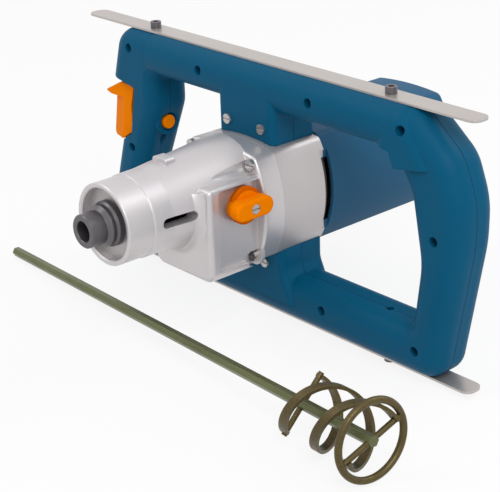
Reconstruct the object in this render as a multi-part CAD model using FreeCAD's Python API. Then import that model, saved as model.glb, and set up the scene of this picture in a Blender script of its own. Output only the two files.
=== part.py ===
import FreeCAD, Part
import math
import os

V = FreeCAD.Vector

# Main planes along Y, measured from the spindle's socket mouth at y = 0
NOSE_Y = 21.0
COLLAR_END_Y = 47.0
BLOCK_Y = 94.0
SHOULDER_Y = 150.0
PLATE_Y = 159.0
CASE_END_Y = 172.0
VENT_Y = 221.0
HOUSING_Y = 227.0
VENT_END_Y = 231.5
PARTING_Y = 202.4
MOTOR_DROP = 13.5  # motor axis below the spindle axis
RUN_FIT = 0.04  # radial clearance of turning and sliding fits
AIR = 0.4  # least gap between pieces that move past each other

# Handle frame, measured from the motor axis and the parting plane
FRAME_HALF_H = 114.5
FRONT_DEPTH = 25.0
GRIP_SETBACK = 3.0
REAR_DEPTH = 26.0
BEAM_H = 38.0
LOWER_BEAM_H = 41.0
BEAM_UNDER_Z = FRAME_HALF_H - BEAM_H
LOWER_BEAM_Z = LOWER_BEAM_H - FRAME_HALF_H
FRAME_WALL = 5.0
OUTER_ROUND = 17.0
WINDOW_ROUND = 15.0
BEAM_ROUND = 17.0
BEAM_X = (-140.0, 172.0)
SEAM_W = 0.5
SEAM_DEPTH = 1.2
PILLAR_HALF_W = 35.6
FOOT_HALF_W = 43.0
PILLAR_ROUND = 6.0
FRAME_SEAT_GAP = 0.2

# Screws of the frame
TOP_SCREW_Z = FRAME_HALF_H - 16.5
LOW_SCREW_Z = 25.0 - FRAME_HALF_H
HANDLE_SCREWS = ((-168.0, TOP_SCREW_Z), (-62.0, TOP_SCREW_Z), (80.0, TOP_SCREW_Z), (183.4, TOP_SCREW_Z),
                 (-172.4, -1.5), (218.0, 13.7), (89.5, LOW_SCREW_Z), (199.0, LOW_SCREW_Z),
                 (-80.0, LOW_SCREW_Z), (-199.0, LOW_SCREW_Z))
RECESS_R = 4.3
SCREW_HEAD_R = 3.6
SCREW_R = 2.0
SCREW_BOSS_R = 6.5
SCREW_SEAT = -12.0
SCREW_END = 17.0
PANEL_SCREW_X = 22.0
PANEL_HEAD_R = 4.5
LUG_Y = (-FRONT_DEPTH + FRAME_WALL, -8.0)  # flange lugs behind the panel

# Cable gland
CORD_X = -196.0
CORD_Z = -68.0
CORD_SEAT_R = 8.0
CORD_FLANGE_R = 11.0
CORD_HOLE_R = 4.5
CORD_SINK = 3.0  # gland flange set into the rounded rear

# Guard bars
BAR_L = 495.0
BAR_W = 20.0
BAR_T = 2.0
BAR_CORNER_R = 8.0
BAR_SCREW_X = 151.5
BAR_SCREW_R = 3.0
BAR_HEAD_R = 5.0
BAR_HEAD_H = 6.0
NUT_AF = 10.0
NUT_H = 5.0

# Flange and motor section: a square with bulged sides
FLANGE_HALF_W = 55.4
FLANGE_HALF_H = 52.0
PANEL_SCREW_Z = FLANGE_HALF_H + 10.5
SIDE_R = 88.0
TOP_R = 200.0
SECTION_CORNER_R = 8.0
FLANGE_WALL = 4.4
HOUSING_HALF_W = 54.4
HOUSING_HALF_H = 52.6
HOUSING_TOP_R = 300.0
HOUSING_WALL = 3.5
CAP_ROUND = 6.0
CAP_SCREW_X = 36.0
CAP_SCREW_Z = 37.0
CAP_POST_R = 6.0
CAP_POST_L = 22.0
CAP_SEAT = 6.0
VENT_HALF_H = 37.0
CASE_SCREW_X = 39.0
CASE_SCREW_Z = 41.7
CASE_SCREW_R = 2.5
CASE_HEAD_R = 5.0
CASE_HEAD_H = 3.5
CHANNEL_R = 7.0

# Gear case
NOSE_R = 35.6
RECESS_WALL = 4.6
CONE_R = 45.4
BLOCK_RIGHT = 48.0
BLOCK_RECESS = 4.0
BLOCK_RIB_W = 11.0
CHEEK_R = 12.0
BLOCK_LEFT = -30.0
BLOCK_BOTTOM = -64.0
LEDGE_Z = 20.6
CASE_WALL = 4.0
DRIFT_Y = 55.0
DRIFT_L = 34.0
DRIFT_W = 8.8

# Spindle with its taper socket
TIP_R = 14.5
BODY_R = 17.8
COLLAR_R = 19.5
SOCKET_R = 8.9
SOCKET_DEPTH = 66.0
TAPER = 0.02497  # radius lost per millimetre, Morse taper 2
FRONT_JOURNAL_R = 17.5
SHAFT_R = 13.0
REAR_JOURNAL_R = 7.5
FRONT_BEARING_Y = 36.0
FRONT_BEARING_W = 14.0
REAR_BEARING_Y = 158.0
REAR_BEARING_W = 11.0
REAR_BEARING_R = 17.5
KEY_W = 4.0
KEY_TOP = 15.0

# Gear train
TEETH_MOTOR = 7
TEETH_WHEEL = 49
TEETH_SLOW_PINION = 9
TEETH_SLOW = 42
TEETH_FAST_PINION = 14
TEETH_FAST = 37
MODULE_1 = 1.0
MODULE_2 = 1.5
ADDENDUM = 0.72
DEDENDUM = 1.0
TOOTH_SHARE = 0.80
CENTRES_1 = MODULE_1 * (TEETH_MOTOR + TEETH_WHEEL) / 2
CENTRES_2 = MODULE_2 * (TEETH_SLOW_PINION + TEETH_SLOW) / 2
LAY_Z = -(CENTRES_2 ** 2 - CENTRES_1 ** 2 + MOTOR_DROP ** 2) / (2 * MOTOR_DROP)
LAY_X = math.sqrt(CENTRES_2 ** 2 - LAY_Z ** 2)
GEAR_W = 12.0
FAST_W = 9.0
WHEEL_Y = 174.0
WHEEL_W = 10.0
WHEEL_ROOM = 0.8
LAY_R = 5.2
LAY_REAR_R = 4.5
BUSH_R = 8.5

# Speed selector and clutch collar
KNOB_Y = 131.0
KNOB_L = 41.0
KNOB_W = 17.0
KNOB_OUT = 65.5
KNOB_SKIRT_R = 13.5
KNOB_SKIRT_T = 11.0
KNOB_FACE_X = BLOCK_RIGHT - BLOCK_RECESS
SELECTOR_R = 7.0
PIN_OFFSET = 4.0
PIN_R = 2.5
GROOVE_PLAY = 1.2
COLLAR_W = 12.0
CLUTCH_R = 21.0
GROOVE_R = 16.4
DOG_H = 3.0
DOG_INNER_R = 15.4
DOG_OUTER_R = 19.5
DOG_ANGLE = 38.0

# Motor
ARMATURE_R = 27.0
CORE_Y = 256.0
CORE_L = 60.0
AIR_GAP = 0.6
COIL_R = (30.5, 40.0)
SHAFT_MID_R = 6.5
MOTOR_BEARING_R = 16.0
MOTOR_BEARING_Y = 187.0
MOTOR_BEARING_W = 10.0
MOTOR_JOURNAL_R = 6.0
COMMUTATOR_R = 15.0
COMMUTATOR_L = 20.0
COMMUTATOR_Y = CORE_Y + CORE_L + 23.0
BRUSH_Y = COMMUTATOR_Y + COMMUTATOR_L / 2
CAP_Y = BRUSH_Y + 17.0
TAIL_BEARING_R = 11.0
TAIL_BEARING_Y = BRUSH_Y + 23.0
TAIL_BEARING_W = 7.0
TAIL_JOURNAL_R = 4.0
REAR_Y = TAIL_BEARING_Y + TAIL_BEARING_W + 11.0
BRUSH_W = 6.0
BRUSH_H = 10.0
HOLDER_WALL = 2.0
BRUSH_CAP_R = 7.0
FAN_R = 42.0
FAN_Y = 204.0
FAN_BLADES = 11
BAFFLE_T = 2.5
BAFFLE_HOLE_R = 34.0
BULKHEAD_Y = 186.0
BULKHEAD_T = 12.0

# Trigger and lock button, measured from the motor axis and the parting plane
TRIGGER_HALF_W = 16.4
TRIGGER_TOP = 59.0
TRIGGER_BOTTOM = 0.0
TRIGGER_GAP = 0.6
TRIGGER_TRAVEL = 7.0
SWITCH_X = (-169.0, -155.0)
TRIGGER_INNER_X = SWITCH_X[0] - TRIGGER_TRAVEL - 1.0
SPRING_SEAT_X = TRIGGER_INNER_X - 12.0
SPRING_Z = 30.0
SWITCH_HALF_W = 13.0
SWITCH_Z = (12.0, 37.0)
BUTTON_Z = 26.3
BUTTON_R = 6.7
BUTTON_X = -138.5
BUTTON_BOSS_R = 13.0
BUTTON_BOSS_X = -141.0
BUTTON_TRAVEL = 3.0

# Mixing paddle, lying in front of the frame
PADDLE_FREE_END = (-271.0, 99.4, -130.0)
PADDLE_RING_END = (277.8, 52.7, -101.1)
ROD_AF = 8.4
RING_R = 31.5
RING_BAR_R = 3.0
BLADE_L = 81.0
BLADE_TURN = 385.0
BLADE_START = 45.0
BLADE_R = 25.5
BLADE_T = 3.0
BLADE_W = 8.5
PRONG_R = 2.4
PRONG_L = 28.5


def box(x0, x1, y0, y1, z0, z1):
    return Part.makeBox(x1 - x0, y1 - y0, z1 - z0, V(x0, y0, z0))


def rod_y(r, y0, y1, x=0.0, z=0.0):
    return Part.makeCylinder(r, y1 - y0, V(x, y0, z), V(0, 1, 0))


def rod_x(r, x0, x1, y=0.0, z=0.0):
    return Part.makeCylinder(r, x1 - x0, V(x0, y, z), V(1, 0, 0))


def rod_z(r, z0, z1, x=0.0, y=0.0):
    return Part.makeCylinder(r, z1 - z0, V(x, y, z0), V(0, 0, 1))


def tube_y(outer, inner, y0, y1, x=0.0, z=0.0):
    return rod_y(outer, y0, y1, x, z).cut(rod_y(inner, y0, y1, x, z))


def tube_x(outer, inner, x0, x1, z):
    return rod_x(outer, x0, x1, 0, z).cut(rod_x(inner, x0, x1, 0, z))


def turned(profile, x=0.0, z=0.0):
    """Solid of revolution about a Y axis from (radius, y) corners."""
    points = [V(x + r, y, z) for r, y in profile]
    face = Part.Face(Part.makePolygon(points + points[:1]))
    return face.revolve(V(x, 0, z), V(0, 1, 0), 360)


def outline(corners):
    """Closed wire in the XZ plane from (x, z, corner radius) points."""
    count = len(corners)
    starts, middles, ends = [], [], []
    for i, (x, z, r) in enumerate(corners):
        p = V(x, 0, z)
        a = (V(corners[i - 1][0], 0, corners[i - 1][1]) - p).normalize()
        after = corners[(i + 1) % count]
        b = (V(after[0], 0, after[1]) - p).normalize()
        half = a.getAngle(b) / 2
        inward = (a + b).normalize() if r else V(0, 0, 0)
        reach = r / math.tan(half) if r else 0.0
        starts.append(p + a * reach)
        ends.append(p + b * reach)
        middles.append(p + inward * (r / math.sin(half) - r) if r else p)
    edges = []
    for i in range(count):
        if (starts[i] - ends[i - 1]).Length > 1e-4:
            edges.append(Part.makeLine(ends[i - 1], starts[i]))
        if corners[i][2]:
            edges.append(Part.Arc(starts[i], middles[i], ends[i]).toShape())
    return Part.Wire(edges)


def prism(corners, y0, y1):
    """The outline carried along Y."""
    face = Part.Face(outline(corners))
    face.translate(V(0, y0, 0))
    return face.extrude(V(0, y1 - y0, 0))


def rounded(shape, radius, pick):
    """Round the edges for which pick(edge) holds."""
    return shape.makeFillet(radius, [e for e in shape.Edges if pick(e)])


def on_plane_y(*planes):
    """Edges that lie wholly in one of the planes y."""
    def pick(edge):
        b = edge.BoundBox
        return any(abs(b.YMin - y) < 1e-3 and abs(b.YMax - y) < 1e-3 for y in planes)
    return pick


def bulged(half_w, half_h, y0, y1, top_r=TOP_R):
    """Square section with bulged sides, centred on the Y axis, carried along Y."""
    shape = rod_y(SIDE_R, y0, y1, half_w - SIDE_R)
    shape = shape.common(rod_y(SIDE_R, y0, y1, SIDE_R - half_w))
    shape = shape.common(rod_y(top_r, y0, y1, 0, half_h - top_r))
    shape = shape.common(rod_y(top_r, y0, y1, 0, top_r - half_h))
    length = y1 - y0
    return rounded(shape, SECTION_CORNER_R,
                   lambda e: abs(e.BoundBox.YLength - length) < 1e-3 and abs(e.Length - length) < 1e-3
                   and abs(e.CenterOfMass.x) > half_w / 2 and abs(e.CenterOfMass.z) > half_h / 2)


def at_motor(shape):
    """From motor-axis height to its place under the spindle axis."""
    shape.translate(V(0, 0, -MOTOR_DROP))
    return shape


def at_frame(shape):
    """From the parting plane and motor axis to the shared frame."""
    shape.translate(V(0, PARTING_Y, -MOTOR_DROP))
    return shape


def sector(inner, outer, start, sweep, y0, y1):
    """Part of a ring about the Y axis, angles in degrees from +X towards +Z."""
    ring = Part.makeCylinder(outer, y1 - y0, V(0, 0, 0), V(0, 0, 1), sweep)
    ring = ring.cut(Part.makeCylinder(inner, y1 - y0))
    ring.rotate(V(0, 0, 0), V(0, 0, 1), -start - sweep)
    ring.rotate(V(0, 0, 0), V(1, 0, 0), -90)
    ring.translate(V(0, y0, 0))
    return ring


def gear(teeth, module, y0, y1, x, z, tooth_at):
    """Spur gear about a Y axis with one tooth centred at the angle tooth_at."""
    pitch_r = teeth * module / 2
    root_r = pitch_r - DEDENDUM * module
    tip_r = pitch_r + ADDENDUM * module
    half = TOOTH_SHARE * math.pi / (2 * teeth)
    lean = math.tan(math.radians(20))
    half_root = half + DEDENDUM * module * lean / root_r * 0.6
    half_tip = half - ADDENDUM * module * lean * 1.25 / tip_r
    points = []
    for i in range(teeth):
        mid = tooth_at + 2 * math.pi * i / teeth
        for radius, shift in ((root_r, -half_root), (pitch_r, -half), (tip_r, -half_tip),
                              (tip_r, half_tip), (pitch_r, half), (root_r, half_root)):
            points.append(V(x + radius * math.cos(mid + shift), y0, z + radius * math.sin(mid + shift)))
    face = Part.Face(Part.makePolygon(points + points[:1]))
    return face.extrude(V(0, y1 - y0, 0))


def ball_bearing(bore, outer, y0, width, x=0.0, z=0.0):
    """Ring bearing with its shields set back between the two rings."""
    race = (outer - bore) * 0.3
    y1 = y0 + width
    return turned([(bore, y0), (bore + race, y0), (bore + race, y0 + 1), (outer - race, y0 + 1),
                   (outer - race, y0), (outer, y0), (outer, y1), (outer - race, y1),
                   (outer - race, y1 - 1), (bore + race, y1 - 1), (bore + race, y1), (bore, y1)], x, z)


def save(name, shape):
    if isinstance(shape, list):
        shape = Part.makeCompound(shape)
    shape.exportStep("parts/" + name + ".step")


# Handle frame

def frame_ring(inset):
    """Closed loop of grips and beams; inset shrinks it on every side for the hollow."""
    top, low = FRAME_HALF_H, LOWER_BEAM_Z
    outer = outline([(-161.5, top, 22), (-219, 44.5 - top, 60), (-214, -top, 20), (219, -top, 20),
                     (243, 8, 120), (244, top - 69.5, 80), (230, top - 32.5, 40), (190, top, 22)])
    window = outline([(-136, BEAM_UNDER_Z, 8), (-136, BEAM_UNDER_Z - 34, 30), (-176, low + 23.5, 40),
                      (-182, low, 10), (190, low, 10), (198.5, -12, 70), (188, BEAM_UNDER_Z - 30, 25),
                      (170, BEAM_UNDER_Z, 10)])
    front = GRIP_SETBACK - FRONT_DEPTH + inset
    rear = REAR_DEPTH - inset
    outer_face = Part.Face(outer)
    window_face = Part.Face(window)
    if inset:
        outer_face = outer_face.makeOffset2D(-inset)
        window_face = window_face.makeOffset2D(inset)
    solids = []
    for face in (outer_face, window_face):
        face.translate(V(0, front, 0))
        solids.append(face.extrude(V(0, rear - front, 0)))
    body = rounded(solids[0], OUTER_ROUND - inset, on_plane_y(front, rear))
    body = body.cut(solids[1])
    span = window.BoundBox
    inner_edges = [e for e in body.Edges if on_plane_y(front, rear)(e)
                   and e.BoundBox.XMin > span.XMin - inset - 1 and e.BoundBox.XMax < span.XMax + inset + 1
                   and e.BoundBox.ZMin > span.ZMin - inset - 1 and e.BoundBox.ZMax < span.ZMax + inset + 1]
    return body.makeFillet(WINDOW_ROUND - inset, inner_edges)


def upper_beam(inset):
    """Straight beam under the top bar, its section rounded at all four edges."""
    x0, x1 = BEAM_X[0] + inset, BEAM_X[1] - inset
    y0, y1 = inset - FRONT_DEPTH, REAR_DEPTH - inset
    beam = box(x0, x1, y0, y1, BEAM_UNDER_Z + inset, FRAME_HALF_H - inset)
    return rounded(beam, BEAM_ROUND - inset, lambda e: e.BoundBox.XLength > x1 - x0 - 1)


def end_block(corners, front):
    """Corner block that carries on the beam, rounded along its outer edges only."""
    block = prism(corners, front, REAR_DEPTH)
    low = min(z for x, z, r in corners)
    sides = on_plane_y(front, REAR_DEPTH)
    inner_x = min(abs(x) for x, z, r in corners)

    def outer_edge(e):
        c = e.CenterOfMass
        outward = abs(c.x) > inner_x + 45 and c.z > low + 16
        return sides(e) and (e.BoundBox.ZMax > FRAME_HALF_H - 1 or outward)
    return rounded(block, BEAM_ROUND, outer_edge)


def pillar():
    """Upper and lower stubs that hold the motor flange."""
    y0, y1 = -FRONT_DEPTH, REAR_DEPTH
    upper = box(-PILLAR_HALF_W, PILLAR_HALF_W, y0, y1, 40, BEAM_UNDER_Z + 20)
    upper = rounded(upper, PILLAR_ROUND, lambda e: e.BoundBox.ZLength > 30)
    foot = [(FOOT_HALF_W, -40, 0), (FOOT_HALF_W, LOWER_BEAM_Z + 7.5, 14),
            (FOOT_HALF_W + 14, LOWER_BEAM_Z - 22.5, 0)]
    corners = foot + [(-x, z, r) for x, z, r in reversed(foot)]
    lower = prism(corners, y0, y1)
    lower = rounded(lower, PILLAR_ROUND,
                    lambda e: on_plane_y(y0, y1)(e) and abs(e.CenterOfMass.x) > FOOT_HALF_W - 8)
    return upper.fuse(lower)


def frame_hollow():
    """Room inside the clamshell for switch, wiring and flange lugs."""
    hollow = frame_ring(FRAME_WALL).fuse(upper_beam(FRAME_WALL))
    half = PILLAR_HALF_W - FRAME_WALL
    y0, y1 = FRAME_WALL - FRONT_DEPTH, REAR_DEPTH - FRAME_WALL
    for z0, z1 in ((40, BEAM_UNDER_Z + 10), (LOWER_BEAM_Z - 10, -40)):
        hollow = hollow.fuse(box(-half, half, y0, y1, z0, z1))
    return hollow


def handle_frame():
    """Both halves in one piece, before the parting cut."""
    frame = frame_ring(0).fuse(upper_beam(0))
    top = FRAME_HALF_H
    left = [(-120, top, 0), (-189, top, 22), (-203, top - 47.5, 0), (-160, top - 55, 0), (-152, top - 50, 0),
            (-149, top - 39, 0), (-142, top - 32, 0), (-120, top - 26, 0)]
    right = [(150, top, 0), (150, top - 32.5, 0), (172, top - 36.5, 0), (177, top - 49, 0),
             (221, top - 42, 0), (186, top, 22)]
    frame = frame.fuse(end_block(left, GRIP_SETBACK - FRONT_DEPTH)).fuse(end_block(right, -FRONT_DEPTH))
    frame = frame.fuse(pillar())
    bosses = [rod_y(SCREW_BOSS_R, -FRONT_DEPTH, REAR_DEPTH, x, z) for x, z in HANDLE_SCREWS]
    for side in (-1, 1):
        for x in (-BAR_SCREW_X, BAR_SCREW_X):
            top = side * FRAME_HALF_H
            inner = side * (FRAME_HALF_H - FRAME_WALL - NUT_H - 2)
            bosses.append(rod_z(NUT_AF, min(top, inner), max(top, inner), x))
    for y0, y1 in ((-FRONT_DEPTH, -SWITCH_HALF_W), (SWITCH_HALF_W, REAR_DEPTH)):
        bosses.append(box(SWITCH_X[0] + 3, SWITCH_X[1] - 3, y0, y1, SWITCH_Z[0] + 4, SWITCH_Z[1] - 4))
    frame = frame.cut(frame_hollow().cut(bosses))
    frame = frame.fuse(rod_x(BUTTON_BOSS_R, -158, BUTTON_BOSS_X, 0, BUTTON_Z))
    gap = FRAME_SEAT_GAP
    rear = HOUSING_Y - PARTING_Y - gap
    cuts = [bulged(FLANGE_HALF_W + gap, FLANGE_HALF_H + gap, -60, 60),
            bulged(HOUSING_HALF_W + gap, HOUSING_HALF_H + gap, rear, 60, HOUSING_TOP_R)]
    for x, z in HANDLE_SCREWS:
        cuts.append(rod_y(RECESS_R, -60, SCREW_SEAT, x, z))
        cuts.append(rod_y(SCREW_R, SCREW_SEAT, SCREW_END, x, z))
    for x in (-PANEL_SCREW_X, PANEL_SCREW_X):
        for z in (-PANEL_SCREW_Z, PANEL_SCREW_Z):
            cuts.append(rod_y(SCREW_R + 0.3, -60, 0, x, z))
    for x in (-BAR_SCREW_X, BAR_SCREW_X):
        cuts.append(rod_z(BAR_SCREW_R + 0.3, -200, 200, x))
        for side in (-1, 1):
            z1 = side * (FRAME_HALF_H - FRAME_WALL)
            z0 = z1 - side * (NUT_H + 4)
            cuts.append(rod_z(NUT_AF / math.sqrt(3) + 0.2, min(z0, z1), max(z0, z1), x))
    w = TRIGGER_HALF_W + TRIGGER_GAP
    z0, z1 = TRIGGER_BOTTOM - TRIGGER_GAP, TRIGGER_TOP + TRIGGER_GAP
    cuts.append(box(-240, SWITCH_X[0] + 4, -w, w, z0, z1))
    cuts.append(prism([(-250, z0, 0), (-193, z0, 4), (-171.5, z0 + 13, 4), (-162.5, z1, 0), (-250, z1, 0)],
                      -60, 60))
    cuts.append(box(SWITCH_X[0] - 0.2, SWITCH_X[1] + 3, -SWITCH_HALF_W, SWITCH_HALF_W, *SWITCH_Z))
    cuts.append(rod_x(BUTTON_R + AIR, -170, -100, 0, BUTTON_Z))
    cuts.append(rod_x(BUTTON_R + 2.6, BUTTON_BOSS_X - 1.5, -100, 0, BUTTON_Z))
    cuts.append(rod_y(CORD_SEAT_R, 0, 60, CORD_X, CORD_Z))
    cuts.append(rod_y(CORD_FLANGE_R, REAR_DEPTH - CORD_SINK, 60, CORD_X, CORD_Z))
    return frame.cut(cuts)


def seam():
    """Narrow groove round the outside where the two halves meet."""
    reach = FRAME_HALF_H + 20
    slab = box(-300, 300, -SEAM_W / 2, SEAM_W / 2, -reach, reach)
    return slab.cut([frame_ring(SEAM_DEPTH), upper_beam(SEAM_DEPTH)])


def handle_halves():
    reach = FRAME_HALF_H + 20
    frame = handle_frame().cut(seam())
    front = frame.common(box(-300, 300, -60, 0, -reach, reach))
    rear = frame.common(box(-300, 300, 0, 60, -reach, reach))
    save("handle_frame_front", at_frame(front))
    save("handle_frame_rear", at_frame(rear))


def slotted_screw(x, z, seat, head_r, head_h, shank_r, end):
    """Slotted screw facing -Y, its head on the plane seat."""
    screw = rod_y(head_r, seat - head_h, seat, x, z).fuse(rod_y(shank_r, seat, end, x, z))
    return screw.cut(box(x - head_r, x + head_r, seat - head_h, seat - head_h * 0.5, z - 0.5, z + 0.5))


def frame_screws():
    handle = [at_frame(slotted_screw(x, z, SCREW_SEAT, SCREW_HEAD_R, 3.0, SCREW_R, SCREW_END))
              for x, z in HANDLE_SCREWS]
    save("handle_screws", handle)
    panel = [at_frame(slotted_screw(x, z, -FRONT_DEPTH, PANEL_HEAD_R, 2.2, SCREW_R, LUG_Y[1] - 2))
             for x in (-PANEL_SCREW_X, PANEL_SCREW_X) for z in (-PANEL_SCREW_Z, PANEL_SCREW_Z)]
    save("panel_screws", panel)


def guard_bars():
    top = FRAME_HALF_H
    screws, nuts = [], []
    for name, side in (("top_bar", 1), ("bottom_bar", -1)):
        z0 = min(side * top, side * (top + BAR_T))
        bar = box(-BAR_L / 2, BAR_L / 2, -BAR_W / 2, BAR_W / 2, z0, z0 + BAR_T)
        bar = rounded(bar, BAR_CORNER_R, lambda e: e.BoundBox.ZLength > BAR_T - 0.1)
        for x in (-BAR_SCREW_X, BAR_SCREW_X):
            bar = bar.cut(rod_z(BAR_SCREW_R + 0.3, z0, z0 + BAR_T, x))
            screws.append(at_frame(bar_screw(x, side)))
            nuts.append(at_frame(bar_nut(x, side)))
        save(name, at_frame(bar))
    save("bar_screws", screws)
    save("bar_nuts", nuts)


def hexagon(across, z0, z1, x):
    points = [V(x + across / math.sqrt(3) * math.cos(math.radians(60 * i)),
                across / math.sqrt(3) * math.sin(math.radians(60 * i)), z0) for i in range(7)]
    return Part.Face(Part.makePolygon(points)).extrude(V(0, 0, z1 - z0))


def bar_screw(x, side):
    face = side * (FRAME_HALF_H + BAR_T)
    outer = face + side * BAR_HEAD_H
    inner = side * (FRAME_HALF_H - FRAME_WALL - NUT_H - 2)
    head = rod_z(BAR_HEAD_R, min(face, outer), max(face, outer), x)
    socket = outer - side * 3.0
    head = head.cut(hexagon(5.0, min(outer, socket), max(outer, socket), x))
    return head.fuse(rod_z(BAR_SCREW_R, min(face, inner), max(face, inner), x))


def bar_nut(x, side):
    seat = side * (FRAME_HALF_H - FRAME_WALL)
    end = seat - side * NUT_H
    nut = hexagon(NUT_AF, min(seat, end), max(seat, end), x)
    return nut.cut(rod_z(BAR_SCREW_R, min(seat, end), max(seat, end), x))


# Gear case and flange

def gear_case():
    """Nose, cone, gear block and shoulder flange of one casting."""
    recess_r = NOSE_R - RECESS_WALL
    outer = turned([(0, NOSE_Y), (NOSE_R - 0.8, NOSE_Y), (NOSE_R, NOSE_Y + 0.8), (NOSE_R, COLLAR_END_Y),
                    (NOSE_R + 0.9, COLLAR_END_Y + 0.6), (NOSE_R + 1.2, 66), (38.6, 84),
                    (CONE_R, SHOULDER_Y + 4), (0, SHOULDER_Y + 4)])
    block = prism([(BLOCK_RIGHT, LEDGE_Z, 4.2), (BLOCK_RIGHT, BLOCK_BOTTOM, 9), (BLOCK_LEFT, BLOCK_BOTTOM, 12),
                   (BLOCK_LEFT, 0, 0), (0, LEDGE_Z, 0)], BLOCK_Y, SHOULDER_Y + 4)
    block = rounded(block, 4.0, lambda e: on_plane_y(BLOCK_Y)(e)
                    and (e.CenterOfMass.x > 0 or e.CenterOfMass.z < -1))
    flange = bulged(FLANGE_HALF_W, FLANGE_HALF_H, SHOULDER_Y, CASE_END_Y)
    flange = at_motor(rounded(flange, 3.0, on_plane_y(SHOULDER_Y)))
    oil_boss = prism([(-9, 30, 0), (9, 30, 0), (9, 42.6, 3), (-9, 42.6, 3)], 82, 92)
    recess = box(KNOB_FACE_X, 80, BLOCK_Y + BLOCK_RIB_W, SHOULDER_Y, BLOCK_BOTTOM + 9, LEDGE_Z - 3)
    recess = rounded(recess, 3.0, lambda e: e.BoundBox.XLength > 20 and e.CenterOfMass.y < SHOULDER_Y - 1)
    case = outer.fuse([block, cheek()]).cut(recess).fuse([flange, oil_boss])
    case = case.cut(case_hollow(recess_r))
    boss_in = rod_x(SELECTOR_R + 5, 34, KNOB_FACE_X, KNOB_Y)
    bush_boss = rod_y(BUSH_R + 3.5, BLOCK_Y + 1, 103, LAY_X, LAY_Z)
    case = case.fuse([boss_in, bush_boss])
    cuts = [rod_x(SELECTOR_R + RUN_FIT, 30, 60, KNOB_Y),
            rod_y(BUSH_R, BLOCK_Y + 2, 104, LAY_X, LAY_Z),
            drift_slot()]
    for x in (-CASE_SCREW_X, CASE_SCREW_X):
        for z in (-CASE_SCREW_Z, CASE_SCREW_Z):
            cuts += screw_room(x, z - MOTOR_DROP)
    return case.cut(cuts)


def cheek():
    """Concave fillet between the nose and the front of the gear block."""
    r0, y1 = NOSE_R + 2.4, BLOCK_Y + 0.5
    y0 = y1 - CHEEK_R
    bend = CHEEK_R * (1 - math.sqrt(0.5))
    arc = Part.Arc(V(r0, y0, 0), V(r0 + bend, y1 - bend, 0), V(r0 + CHEEK_R, y1, 0)).toShape()
    sides = [Part.makeLine(V(0, y0, 0), V(r0, y0, 0)), arc,
             Part.makeLine(V(r0 + CHEEK_R, y1, 0), V(0, y1, 0)), Part.makeLine(V(0, y1, 0), V(0, y0, 0))]
    flare = Part.Face(Part.Wire(sides)).revolve(V(0, 0, 0), V(0, 1, 0), 360)
    return flare.common(box(BLOCK_LEFT + 4, BLOCK_RIGHT - 4, y0, y1, BLOCK_BOTTOM + 5, LEDGE_Z - 3))


def case_hollow(recess_r):
    """Bearing seat, gear room and plate seat inside the case."""
    seat_end = FRONT_BEARING_Y + FRONT_BEARING_W
    bore = turned([(0, NOSE_Y), (recess_r + 1.2, NOSE_Y), (recess_r, NOSE_Y + 1.2), (recess_r, seat_end),
                   (26, seat_end), (26, BLOCK_Y + 2), (34.5, BLOCK_Y + 2),
                   (CONE_R - CASE_WALL - 0.4, SHOULDER_Y), (CONE_R - CASE_WALL - 0.4, PLATE_Y), (0, PLATE_Y)])
    right, left = KNOB_FACE_X - CASE_WALL, BLOCK_LEFT + CASE_WALL
    bottom = BLOCK_BOTTOM + 18
    room = prism([(right, LEDGE_Z - CASE_WALL, 2), (right, bottom, 6), (left, bottom, 6), (left, 0, 0)],
                 BLOCK_Y + CASE_WALL, PLATE_Y)
    inner_w = FLANGE_HALF_W - FLANGE_WALL
    inner_h = FLANGE_HALF_H - FLANGE_WALL
    seat = at_motor(bulged(inner_w, inner_h, PLATE_Y, CASE_END_Y))
    return bore.fuse([room, seat])


def drift_slot():
    """Slot through both sides of the nose for the wedge that frees a taper shank."""
    half = DRIFT_W / 2
    slot = box(-60, 60, DRIFT_Y + half, DRIFT_Y + DRIFT_L - half, -half, half)
    for y in (DRIFT_Y + half, DRIFT_Y + DRIFT_L - half):
        slot = slot.fuse(rod_x(half, -60, 60, y))
    return slot


def screw_room(x, z):
    """Through hole and access channel for one case screw."""
    start = 104 if z > 0 else 143
    side = 30 if x > 0 else -30
    up = 30 if z > 0 else -30
    room = rod_y(CHANNEL_R, start, SHOULDER_Y, x, z)
    room = room.fuse(rod_x(CHANNEL_R, min(x, x + side), max(x, x + side), start, z))
    x0, x1 = min(x, x + side), max(x, x + side)
    open_side = box(x0, x1, start, SHOULDER_Y, z - CHANNEL_R, z + CHANNEL_R)
    x0, x1 = min(x - 3, x + side), max(x + 3, x + side)
    open_up = box(x0, x1, start, SHOULDER_Y, min(z, z + up), max(z, z + up))
    return [room, open_side, open_up, rod_y(CASE_SCREW_R, SHOULDER_Y - 1, CASE_END_Y + 20, x, z)]


def case_screws():
    screws = []
    for x in (-CASE_SCREW_X, CASE_SCREW_X):
        for z in (-CASE_SCREW_Z, CASE_SCREW_Z):
            screw = slotted_screw(x, z, SHOULDER_Y, CASE_HEAD_R, CASE_HEAD_H, CASE_SCREW_R, CASE_END_Y + 12)
            screws.append(at_motor(screw))
    save("gear_case_screws", screws)


def bearing_plate():
    """Plate between gear case and motor flange with the spindle's rear bearing seat."""
    plate = at_motor(bulged(FLANGE_HALF_W - FLANGE_WALL, FLANGE_HALF_H - FLANGE_WALL, PLATE_Y, CASE_END_Y))
    plate = plate.cut(rod_y(REAR_BEARING_R, 150, REAR_BEARING_Y + REAR_BEARING_W))
    plate = plate.cut(rod_y(REAR_BEARING_R - 5, 150, 171))
    plate = plate.cut(rod_y(LAY_R + 4, 150, 180, LAY_X, LAY_Z))
    for x in (-CASE_SCREW_X, CASE_SCREW_X):
        for z in (-CASE_SCREW_Z, CASE_SCREW_Z):
            plate = plate.cut(rod_y(CASE_SCREW_R, 150, 180, x, z - MOTOR_DROP))
    return plate


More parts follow.
